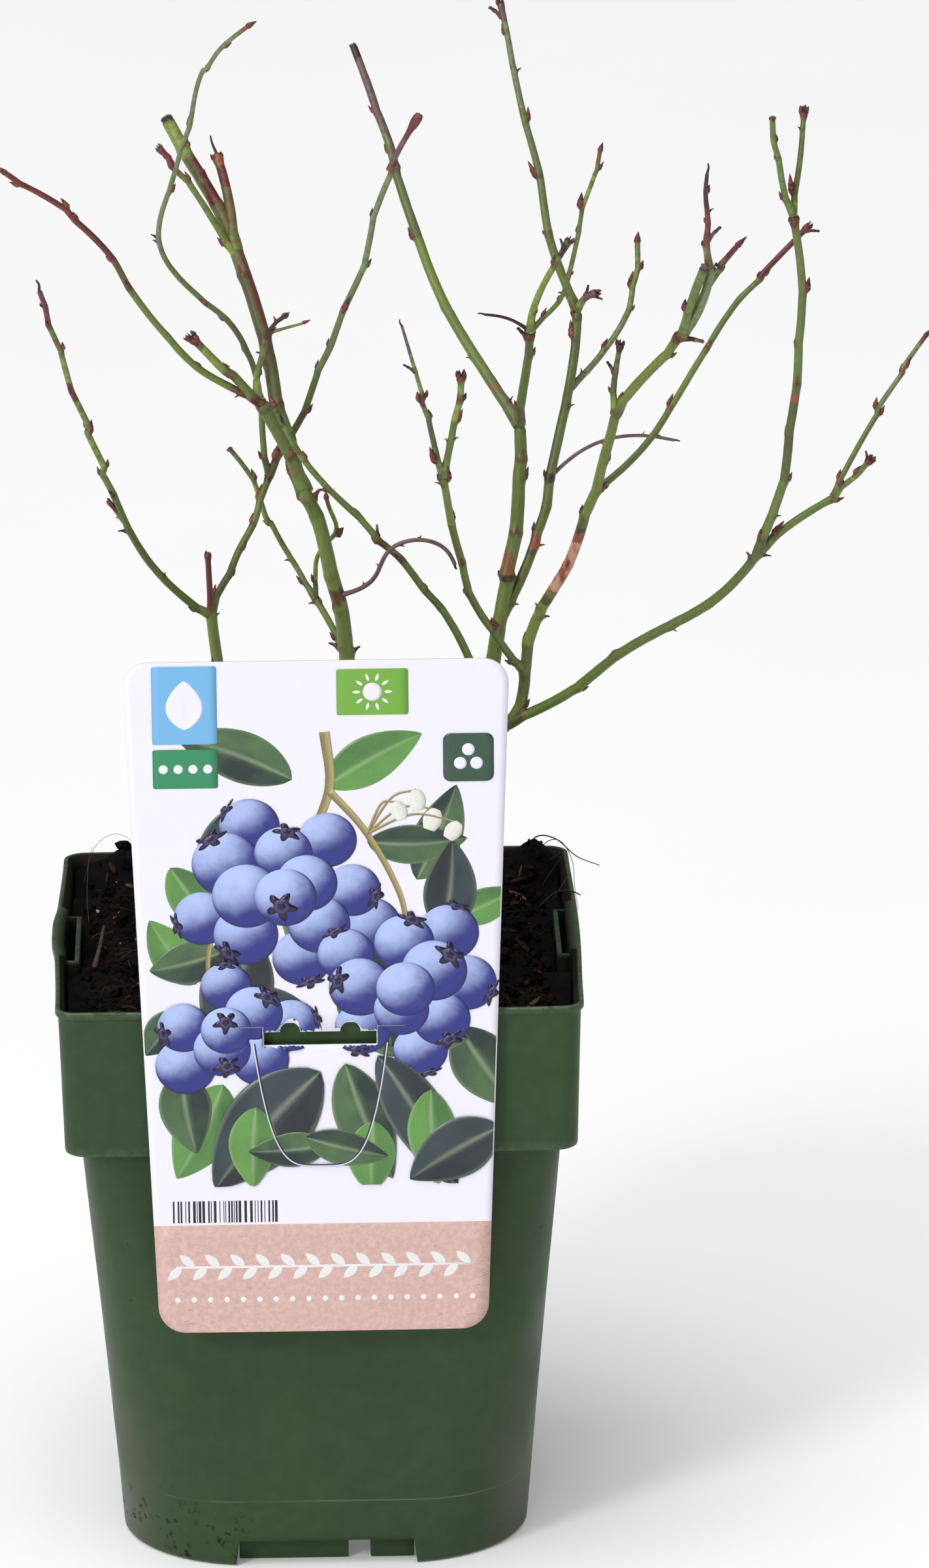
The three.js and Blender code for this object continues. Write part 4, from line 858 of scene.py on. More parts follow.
def square_ring(half, corner, bow=0.0, notch_share=1.0, pocket=None):
    """A level outline of the pot, anticlockwise: x, y, the outward direction in plan and the signed
    distance from the middle of its side. The sides bow out by cosine squared, and `pocket` is the
    greatest depth at the card pockets."""
    distance, x, depth, out_x, out_y = half_side(half, corner, notch_share)
    signs = np.concatenate([-np.ones(len(x) - 2), [1], np.ones(len(x) - 1)])
    order = np.concatenate([np.arange(len(x) - 2, 0, -1), [0], np.arange(1, len(x))])
    side = distance[order] * signs
    depth = depth[order] + bow * np.cos(np.pi * x[order] / (2 * half)) ** 2
    if pocket is not None:
        depth = np.where(np.abs(side) <= POCKET["half"], np.minimum(depth, pocket), depth)
    flat = np.stack([x[order] * signs, -depth], axis=-1)
    out = np.stack([out_x[order] * signs, -out_y[order]], axis=-1)
    spins = [quarter_turn(turn)[:2, :2] for turn in SIDE_TURNS]
    return (np.vstack([flat @ spin for spin in spins]), np.vstack([out @ spin for spin in spins]),
            np.tile(side, len(SIDE_TURNS)))


def body_size(z):
    """The body's half width and corner radius at a height."""
    share = z / BAND_FOOT
    half = lerp(BODY["foot_half"], BODY["top_half"], share)
    return half, lerp(BODY["foot_corner"], BODY["top_corner"], share)


def band_size(z, rim_half):
    """The band's half width and corner radius at a height."""
    share = (z - BAND_FOOT) / (BAND_TOP - BAND_FOOT)
    return lerp(BAND["foot_half"], rim_half - LIP["out"], share), BAND["corner"]


def wall_rows(pot):
    """The pot's rows from the floor's underside round the outside, over the lip and down the inside,
    as (half width, corner, height, scuffed share, kind)."""
    wall, top, rim = mm(pot.wall), mm(pot.height), mm(pot.rim_half)
    foot, foot_corner = BODY["foot_half"], BODY["foot_corner"]
    width, rise, ease = FOOT["width"], FOOT["rise"], LIP["ease"]
    rows = [(foot - inset, foot_corner - inset, z, scuff, kind) for inset, z, scuff, kind in
            ((width, rise, 0, "under"), (width, 0, 0.2, "foot"), (1, 0, 0.5, "foot"),
             (0.4, 0.3, 0.5, "foot"))]
    rows += [(*body_size(z), z, 0, "body") for z in BODY_HEIGHTS]
    inner_hole = (POCKET["inner"], BAND["corner"] + 3)
    outer_hole = POCKET["outer"] - BAND["bow"]
    rows += [(*inner_hole, BAND_FOOT, 0, "inner hole"),
             (outer_hole, BAND["corner"] + 1, BAND_FOOT, 0, "outer hole")]
    half, corner = band_size(BAND_FOOT, rim)
    rows += [(half - 0.6, corner - 0.4, BAND_FOOT, 0.1, "band"),
             (half - 0.18, corner, BAND_FOOT + 0.25, 0.4, "band")]
    rows += [(*band_size(z, rim), z, 0.25 if z < BAND_FOOT + 1 else 0, "band") for z in BAND_HEIGHTS]
    rows += [(rim - inset, corner + rounder, z, scuff, kind) for inset, rounder, z, scuff, kind in
             ((0.15, ease, BAND_TOP + 0.2, 0.1, "band"), (0, ease, BAND_TOP + ease + 0.1, 0.15, "band"),
              (0, ease, top - ease, 0.3, "band"), (0.12, 0.2, top - 0.12, 1, "band"),
              (ease, 0, top, 0.5, "band"),
              (1.0, -0.7, top, 0.1, "band"), (1.25, -0.9, top - 0.3, STAINED, "inner"),
              (LIP["out"] + wall, -wall, top - 2.2, STAINED, "inner"))]
    for z in (*np.linspace(top - 3.2, BAND_FOOT + 4, 13), BAND_FOOT + 2):
        half, corner = band_size(min(z, BAND_TOP), rim)
        rows.append((half - wall, corner - wall, z, STAINED, "inner"))
    rows += [(outer_hole - 0.2, BAND["corner"] - 1, BAND_FOOT + 2, 0, "outer hole"),
             (*inner_hole, BAND_FOOT + 2, 0, "inner hole")]
    for z, ring_z in ((BAND_FOOT, BAND_FOOT + 1.7), (78, 78), (40, 40), (8.6, 8.6)):
        half, corner = body_size(z)
        rows.append((half - wall, corner - wall, ring_z, 0, "body"))
    return rows


def pot_shell(pot):
    """The wall as one closed grid: rows of square rings, its notches and pockets made by where the
    places of a row are set. The thin wall waves in and out, alike inside and outside."""
    rows = wall_rows(pot)
    bulge_foot = BAND_TOP - POCKET["bulge_height"]
    levels, tones = [], []
    for half, corner, z, scuff, kind in rows:
        notch_share = min(1.0, z / FOOT["rise"]) if kind in ("foot", "body") else 1.0
        pocket = POCKET["outer"] if kind == "inner" else None
        bow = BAND["bow"] if kind in ("band", "inner", "outer hole") else 0
        flat, out, side = square_ring(half, corner, bow, notch_share, pocket)
        turn = np.arange(len(side)) // (len(side) // 4)
        level = np.full(len(flat), float(z))
        if z < FOOT["rise"]:
            level = np.where(np.abs(side) < FOOT["notch_top"], FOOT["rise"], level)
        place = np.column_stack([flat / np.abs(flat).max(axis=1)[:, None] * 60, level])
        wave = mm(pot.warp) * noise(place + [0, 0, 400], 46) * smooth(0, 20, level)
        if kind in ("band", "inner") and z > bulge_foot:
            bulge = np.where(turn == 3, np.exp(-(side / 15) ** 4), 0) * smooth(bulge_foot, BAND_TOP, z)
            wave = wave + POCKET["bulge"] * bulge
        if z > BAND_TOP:
            level = level + LIP["wave"] * noise(place, 24, 3) * smooth(BAND_TOP, mm(pot.height), level)
        if abs(z - MOULD_LINE["height"]) < 0.5:
            wave = wave + MOULD_LINE["proud"] * ((turn == 0) & (np.abs(side) < MOULD_LINE["half"]))
        levels.append(np.column_stack([flat + out * wave[:, None], level]))
        tones.append(np.tile((max(scuff, 0.0), max(-scuff, 0.0), 0.0), (len(flat), 1)))
    skin = grid(np.array(levels), first=True, last=True, tone=np.array(tones))
    return open_pockets(skin, [row[-1] for row in rows], side)


def open_pockets(skin, kinds, side):
    """Cuts the four pocket holes through the ledge and lines each with faces from the outer hole to
    the inner one."""
    columns = len(side)
    outer, outer_next, inner, inner_next = [row for row, kind in enumerate(kinds) if kind.endswith("hole")]
    following = np.roll(np.arange(columns), -1)
    within = (np.abs(side) <= POCKET["hole"]) & (np.abs(side[following]) <= POCKET["hole"])
    start = np.flatnonzero(within)
    keep = np.ones(len(skin.faces), bool)
    for row in (outer, inner):
        keep[row * columns + start] = False
    long_one = [np.column_stack([a * columns + start, b * columns + start, b * columns + following[start],
                                 a * columns + following[start]])
                for a, b in ((outer, inner_next), (inner, outer_next))]
    ends = np.flatnonzero(np.abs(side) == POCKET["hole"])
    short_one = np.column_stack([row * columns + ends for row in (outer, outer_next, inner, inner_next)])
    return Skin(skin.points, np.vstack([skin.faces[keep], *long_one, short_one]), skin.tone, 0)


def turned(skin, turn):
    """A skin turned about the pot's axis by quarter turns."""
    return Skin(skin.points @ quarter_turn(turn), skin.faces, skin.tone, skin.finish)


def pocket_leaf():
    """The inner wall of a card pocket: a shallow U in plan with its top edges eased and rubbed."""
    top, back = POCKET["top"], -POCKET["outer"] - 0.4
    levels, tones = [], []
    for z, inset, scuff in ((115.8, 0, 0), (130, 0, 0), (top - 1.2, 0, 0.3), (top - 0.25, 0, 0.9),
                            (top, 0.25, 1)):
        near, far = -POCKET["inner"] - inset, -POCKET["inner"] + POCKET["wall"] - inset
        wide, narrow = POCKET["half"] - inset, POCKET["half"] - POCKET["wall"] + inset
        outline = ((-wide, back), (-wide, far), (wide, far), (wide, back), (narrow, back), (narrow, near),
                   (-narrow, near), (-narrow, back))
        levels.append([(x, y, z) for x, y in outline])
        tones.append(np.tile((0.45 * scuff, 1.0 - 0.6 * scuff, 0), (len(outline), 1)))
    skin = grid(np.array(levels), tone=np.array(tones))
    caps = np.array([[0, 1, 6, 7], [1, 2, 5, 6], [2, 3, 4, 5]])
    lids = caps + (len(levels) - 1) * len(outline)
    return Skin(skin.points, np.vstack([skin.faces, caps, lids]), skin.tone, 0)


def slab(low, high, ease):
    """A block with eased edges: rounded oblongs stacked from low to high, the first and last drawn in."""
    low, high = np.array(low, float), np.array(high, float)
    middle, half = (low + high) / 2, (high - low)[:2] / 2
    foot, top = low[2], high[2]
    angle = (np.arange(24) + 0.5) / 24 * 2 * np.pi
    round_off = np.column_stack([np.cos(angle), np.sin(angle)])
    levels = []
    for z, inset in ((foot, ease), (foot + ease * 0.3, ease * 0.3), (foot + ease, 0), (top - ease, 0),
                     (top - ease * 0.3, ease * 0.3), (top, ease)):
        flat = np.clip(round_off * ease * 1.6, -ease, ease) + np.sign(round_off) * (half - inset - ease)
        levels.append(np.column_stack([middle[:2] + flat, np.full(len(angle), z)]))
    return grid(np.array(levels), first=True, last=True, tone=NO_WEAR)


def round_foot():
    """The round foot in the middle: a turned profile with eased edges."""
    radius = FOOT["pad"]
    profile = ((radius - 0.5, 0), (radius - 0.12, 0.15), (radius, 0.6), (radius, FOOT["rise"] + 0.5))
    return turned_shape(profile, 40, tone=NO_WEAR)


def make_pot(pot):
    """The whole pot as one piece."""
    skins = [pot_shell(pot), round_foot()]
    for turn in SIDE_TURNS:
        skins.append(turned(pocket_leaf(), turn))
        for start, end in INNER_FEET["spans"]:
            low = (start, INNER_FEET["front"], 0)
            high = (end, INNER_FEET["front"] + INNER_FEET["thick"], FOOT["rise"] + 0.5)
            skins.append(turned(slab(low, high, 0.7), turn))
    put("pot_body", joined(skins), [plastic_finish(pot)], ["pot"], mend=True)


# ---------------------------------------------------------------- compost


def compost_height(x, y, level, detail=True):
    """The height of the compost: slow waves, lumps and two clods, flat round the short stem."""
    long, wide, short = COMPOST["lengths"]
    calm = smooth(*COMPOST["calm"], np.hypot(x - 3, y))
    height = level + calm * (COMPOST["lump"] * np.sin(x / long + 1) * np.cos(y / wide)
                             + COMPOST["fine"] * np.sin((x + y) / short) - COMPOST["dip"])
    places = np.stack([x, y, np.zeros_like(x)], axis=-1)
    for mound_x, mound_y in MOUNDS:
        away = np.hypot(x - mound_x, y - mound_y) / MOUND["radius"]
        height = height + MOUND["height"] * np.exp(-away * away)
    height = height + COMPOST["ridge"] * smooth(44, 60, y + 1.5 * np.sin(x / 6))
    if detail:
        height = height + 0.9 * rough(places, 7, 2, 5) + 0.75 * rough(places, 2.2, 3, 9)
    return height


def compost_edge():
    """How far the compost reaches to each side: to just clear of the wall and the pockets' leaves."""
    flat, _, side = square_ring(BED["edge"], BED["corner"], BAND["bow"])
    depth_cut = POCKET["inner"] - POCKET["wall"] - 0.4
    reach = np.abs(flat).max(axis=1)
    shrink = np.where(np.abs(side) <= POCKET["half"] + 2, depth_cut / reach, 1.0)
    return flat * shrink[:, None]


def make_compost(compost):
    """The compost's body: lumpy rings from the wall to the middle, closed down to the pot's floor."""
    edge = compost_edge()
    level = mm(compost.level)
    outlines = []
    for z in (9.0, 40.0, 78.0, BAND_FOOT):
        half, corner = body_size(z)
        outlines.append((square_ring(half - BED["clear"], corner - BED["clear"])[0], z))
    outlines += [(edge * 0.94, BAND_FOOT + 2.4), (edge, BAND_FOOT + 3.0), (edge, level - 4)]
    levels = [np.column_stack([flat, np.full(len(flat), z)]) for flat, z in outlines]
    for share in np.linspace(1, 0.015, 74):
        flat = edge * share
        levels.append(np.column_stack([flat, compost_height(flat[:, 0], flat[:, 1], level)]))
    put("compost_bed", grid(np.array(levels), first=True, last=True), [peat_finish(compost)],
        ["compost"])


def scattered(random, count, margin=3.0):
    """Places scattered over the compost, clear of the wall and of the pockets' leaves."""
    places = random.uniform(margin - BED["half"], BED["half"] - margin, (count * 2, 2))
    far = np.abs(places).max(axis=1)
    sideways = np.abs(places).min(axis=1)
    near_pocket = (far > BED["pocket"] - margin / 2) & (sideways < POCKET["half"] + 2)
    return places[~near_pocket][:count]


def crumb_shape():
    """A knobbly crumb: a ball of few faces whose points stand in and out."""
    sides = 5
    rows = []
    for number, (height, radius) in enumerate(((-0.75, 0.5), (-0.1, 1.0), (0.6, 0.72))):
        reach = radius * (1 + 0.22 * np.sin(3.1 * np.arange(sides) + 2.3 * number))
        turn = circle(sides) + number * 0.6
        rows.append(np.column_stack([reach * np.cos(turn), reach * np.sin(turn), np.full(sides, height)]))
    return grid(np.array(rows), first=True, last=True)


def make_crumbs(compost):
    """Crumbs of peat on the compost, small and flat to big and round, with a few pale grains."""
    random = np.random.default_rng(DRAWS["crumbs"])
    flat = scattered(random, compost.crumbs)
    count = len(flat)
    size = 0.45 + 1.25 * random.random(count) ** 2.6
    size[: count // 40] = random.uniform(1.6, 2.6, count // 40)
    level = compost_height(flat[:, 0], flat[:, 1], mm(compost.level))
    places = np.column_stack([flat, level + 0.25 * size])
    sizes = size[:, None] * random.uniform(0.7, 1.25, (count, 3))
    kind = random.random(count)
    finish = np.where(kind > 0.985, 2, np.where(kind > 0.62, 1, 0))
    sizes[finish == 2] *= 0.45
    axes = frames(random.normal(size=(count, 3)), random.uniform(0, 6.3, count))
    finishes = [plain_finish("peat_crumb", compost.peat, 0.9, 1.2, 0.4, Specular_IOR_Level=0.1),
                plain_finish("brown_crumb", compost.brown, 0.9, 1.2, 0.4, Specular_IOR_Level=0.1),
                plain_finish("pale_grain", (0.3, 0.27, 0.2), 0.8, 0.8, 0.25, Specular_IOR_Level=0.2)]
    put("peat_crumbs", copies(crumb_shape(), places, axes, sizes, finish), finishes, sharp=True)


def curved_threads(random, starts, direction, lengths, bends, lifts, rows=7):
    """Centre lines of many threads: start + t * length * direction, with a sideways bend and a lift
    that both follow the sine of half a turn."""
    share = np.linspace(0, 1, rows)[None, :, None]
    direction = unit(direction)
    side = unit(np.cross(direction, random.normal(size=direction.shape)))
    arc = np.sin(np.pi * share)
    up = np.array([0, 0, 1.0])
    return (starts[:, None] + share * (lengths[:, None] * direction)[:, None]
            + arc * (bends[:, None] * side)[:, None] + arc * lifts[:, None, None] * up)


def headings(random, count):
    """Level directions at random, as x and y."""
    heading = random.uniform(0, 2 * np.pi, count)
    return np.column_stack([np.cos(heading), np.sin(heading)])


def make_fibres(compost):
    """Fibres of peat and fine dead roots that lie on the compost, some with an end in the air."""
    random = np.random.default_rng(DRAWS["fibres"])
    flat = scattered(random, compost.fibres, 5.0)
    count = len(flat)
    level = headings(random, count)
    rise = random.uniform(-0.08, 0.3, count) * (random.random(count) > 0.45)
    direction = np.column_stack([level, rise])
    lengths = random.uniform(2.5, 10, count)
    flat = np.clip(flat - level * lengths[:, None] / 2, -BED["start"], BED["start"])
    starts = np.column_stack([flat, compost_height(flat[:, 0], flat[:, 1], mm(compost.level), False) + 0.5])
    bends, lifts = random.normal(0, 0.9, count), random.uniform(0, 0.9, count)
    lines = curved_threads(random, starts, direction, lengths, bends, lifts)
    thick = random.uniform(0.07, 0.24, count)[:, None] * np.array([0.7, 1, 1, 1, 0.9, 0.7, 0.4])
    lines[..., :2] = np.clip(lines[..., :2], -BED["fibre"], BED["fibre"])
    dark = tuple(value * 0.25 for value in compost.fibre)
    finishes = [plain_finish("peat_fibre", compost.fibre, 0.85, 1.5, 0.4, Specular_IOR_Level=0.15),
                plain_finish("dark_fibre", dark, 0.9, 1.5, 0.3, Specular_IOR_Level=0.15)]
    finish = (random.random(count) > 0.3).astype(int)
    put("peat_fibres", tubes(lines, thick, 3, finish), finishes)


def make_chips(compost):
    """Bits of bark and twig in the compost: short flattened sticks, each with its own bend."""
    random = np.random.default_rng(DRAWS["chips"])
    flat = scattered(random, compost.chips, 6.0)
    count = len(flat)
    direction = np.column_stack([headings(random, count), random.uniform(-0.25, 0.5, count)])
    lengths = random.uniform(2, 7.5, count)
    starts = np.column_stack([flat, compost_height(flat[:, 0], flat[:, 1], mm(compost.level), False) + 0.35])
    starts = starts - direction * lengths[:, None] * 0.4
    starts[:, :2] = np.clip(starts[:, :2], -BED["start"], BED["start"])
    bends = random.normal(0, 0.4, count)
    lines = curved_threads(random, starts, direction, lengths, bends, np.zeros(count), 5)
    thick = random.uniform(0.3, 0.85, count)[:, None] * np.array([0.65, 1, 0.95, 0.9, 0.5])
    lines[..., :2] = np.clip(lines[..., :2], -BED["chip"], BED["chip"])
    dark = tuple(value * 0.22 for value in compost.chip)
    finishes = [plain_finish("bark_chip", compost.chip, 0.85, 1.5, 0.45, Specular_IOR_Level=0.15),
                plain_finish("dark_chip", dark, 0.9, 1.5, 0.4, Specular_IOR_Level=0.15)]
    finish = (random.random(count) > 0.2).astype(int)
    put("bark_chips", tubes(lines, thick, 5, finish), finishes, sharp=True)


# Roots and sticks that stand up from the compost at the wall: points on the way and thickness.
RIM_ROOTS = (
    (((52, 50, 148), (54, 55, 153), (57, 57, 157), (62, 56, 156.5), (67, 54, 152.5), (73, 52, 150.5)), 0.26),
    (((55, 54, 149), (59, 57, 155), (63, 56, 156), (66, 55, 151), (66.6, 54, 144), (67.5, 53, 138)), 0.13),
    (((60, 52, 152), (64, 52, 154.5), (60, 50, 149), (58, 47, 147)), 0.1),
    (((45, 52, 149), (45.5, 55, 158), (43, 57, 164), (39.5, 58, 167.5), (36.5, 58, 168.5)), 0.09),
    (((37.5, 57.6, 168.2), (36.6, 58, 168.6), (35.6, 58.3, 168.2)), 0.4),
    (((57, 30, 147), (61, 27, 151.5), (64.5, 24, 152.8), (67, 22, 152.4)), 0.34),
    (((60, 28, 149), (63, 29, 153.5), (64, 30, 155)), 0.2),
    (((-58, 20, 147), (-58.5, 26, 153), (-58, 33, 160), (-57, 35, 163)), 0.11),
    (((-60, 50, 148), (-57, 56, 156), (-52, 58, 159), (-47, 57, 157), (-45, 56, 152)), 0.07),
    (((-57, -22, 146), (-55, -6, 149), (-54, 8, 150.5)), 0.75),
    (((-46, 18, 146), (-45, 26, 150), (-44, 33, 150.5)), 0.5),
)


def smooth_path(points, rows):
    """A curve through set points: each stretch is a cubic whose slope at a point is half the way from
    the point before to the point after."""
    points = np.array(points, float)
    padded = np.vstack([2 * points[0] - points[1], points, 2 * points[-1] - points[-2]])
    place = np.linspace(0, len(points) - 1 - 1e-9, rows)
    at = place.astype(int)
    share = (place - at)[:, None]
    before, start, end, after = (padded[at + k] for k in range(4))
    return 0.5 * (2 * start + (end - before) * share + (2 * before - 5 * start + 4 * end - after) * share ** 2
                  + (3 * start - before - 3 * end + after) * share ** 3)


def make_rim_roots(compost):
    """Hair roots and sticks at the wall, each a tube along a smooth path that thins to its end."""
    rows = 22
    lines = np.array([smooth_path(points, rows) for points, _ in RIM_ROOTS])
    thick = np.array([thickness for _, thickness in RIM_ROOTS])
    finishes = [plain_finish("hair_root", (0.035, 0.022, 0.018), 0.7, 2, 0.4),
                plain_finish("loose_stick", tuple(value * 0.6 for value in compost.chip), 0.8, 2, 0.4)]
    skin = tubes(lines, thick[:, None] * np.linspace(1, 0.45, rows), 7, (thick > 0.45).astype(int))
    put("rim_roots", skin, finishes)


# ---------------------------------------------------------------- card


def card_half(z):
    """Half the card's width at a height: straight sides that widen upwards, with round corners."""
    corner = CARD["corner"]
    share = (z - CARD["foot_z"]) / (CARD["top_z"] - CARD["foot_z"])
    half = lerp(CARD["foot_half"], CARD["top_half"], share)
    edge = np.clip(np.minimum(z - CARD["foot_z"], CARD["top_z"] - z), 0, corner)
    return half - corner + np.sqrt(corner ** 2 - (corner - edge) ** 2)


def on_card(x, z, layer=0.0):
    """A place on the card's face, or a number of print layers over it. The card bows a little: near
    its foot its side edges curl back by the square of the way out."""
    curl = 0.5 * (x / CARD["top_half"]) ** 2 * smooth(100, 60, z)
    return np.stack([x + 0 * z, CARD["front"] + curl - layer * LAYER, z + 0 * x], axis=-1)


def slot_top(x):
    """The slot's upper edge: level, with two round thumb notches."""
    away = np.minimum(np.abs(x - SLOT["thumb_at"]), np.abs(x + SLOT["thumb_at"]))
    return SLOT["top_z"] + np.sqrt(np.clip(SLOT["thumb"] ** 2 - away ** 2, 0, None))


def placed(x, z, degrees, along, side):
    """The place that is so far along a direction from x, z and so far to its left."""
    heading = math.radians(degrees)
    return (x + along * math.cos(heading) - side * math.sin(heading),
            z + along * math.sin(heading) + side * math.cos(heading))


def make_card(card):
    """The card as a grid of rows up and columns across, with the slot left open and a real thickness."""
    notch = SLOT["thumb"] * np.cos(np.linspace(np.pi, 0, 15))
    inner = np.concatenate([np.linspace(-SLOT["half"], SLOT["half"], 13), notch + SLOT["thumb_at"],
                            notch - SLOT["thumb_at"]])
    inner = np.unique(np.round(inner, 4))
    outside = np.linspace(0, 1, 18)[1:]
    heights = np.concatenate([CARD["foot_z"] + CARD_CORNER, np.linspace(80, 140, 12),
                              [SLOT["foot_z"], SLOT["top_z"]], np.linspace(153, 232, 15),
                              CARD["top_z"] - CARD_CORNER[::-1]])
    slot_row = int(np.flatnonzero(heights == SLOT["foot_z"])[0])
    levels = []
    for z in heights:
        right = lerp(SLOT["half"], card_half(z), outside)
        x = np.concatenate([-right[::-1], inner, right])
        height = np.full(len(x), z)
        if z == SLOT["top_z"]:
            height = np.where(np.abs(x) <= SLOT["half"], slot_top(x), height)
        levels.append(on_card(x, height))
    skin = grid(np.array(levels), wrap=False)
    middle = (x[1:] + x[:-1]) / 2
    keep = np.ones(len(skin.faces), bool)
    keep[slot_row * len(middle) + np.flatnonzero(np.abs(middle) < SLOT["half"])] = False
    finishes = [card_finish(card), plain_finish("card_edge", card.edge, 0.6, 1.0, 0.1)]
    piece = put("card_sheet", Skin(skin.points, skin.faces[keep]), finishes, ["card"])
    wall = piece.modifiers.new("thickness", "SOLIDIFY")
    wall.thickness = card.thick
    wall.offset = -1.0
    wall.material_offset_rim = 1
    make_hook(card)


def make_hook(card):
    """The hook: a flat strip carried along a path from the card's back, over the lip and down inside."""
    rim, half, bend_radius, half_thick = HOOK["rim_z"], HOOK["half"], HOOK["bend"], HOOK["half_thick"]
    back, inside = CARD["front"] + mm(card.thick) + 0.1, HOOK["inner"] - 0.3
    bend = np.linspace(0, np.pi / 2, 7)
    over = [(back + bend_radius * (1 - math.cos(a)), rim - 0.9 + bend_radius * math.sin(a)) for a in bend[1:]]
    down = [(inside - bend_radius * (1 - math.sin(a)), rim - 0.9 + bend_radius * math.cos(a)) for a in bend]
    path = np.array([(back, 149.5), (back, rim - 0.9), *over, *down, (inside, 140), (inside, HOOK["foot_z"])])
    step = unit(np.gradient(path, axis=0))
    normal = np.column_stack([-step[:, 1], step[:, 0]])
    corners = ((-half, half_thick), (half, half_thick), (half, -half_thick), (-half, -half_thick))
    levels = [[(x, *(place + out * offset)) for x, offset in corners] for place, out in zip(path, normal)]
    put("card_hook", grid(np.array(levels), first=True, last=True), [card_finish(card)],
        sharp=True, mend=True)


# ---------------------------------------------------------------- the print on the card


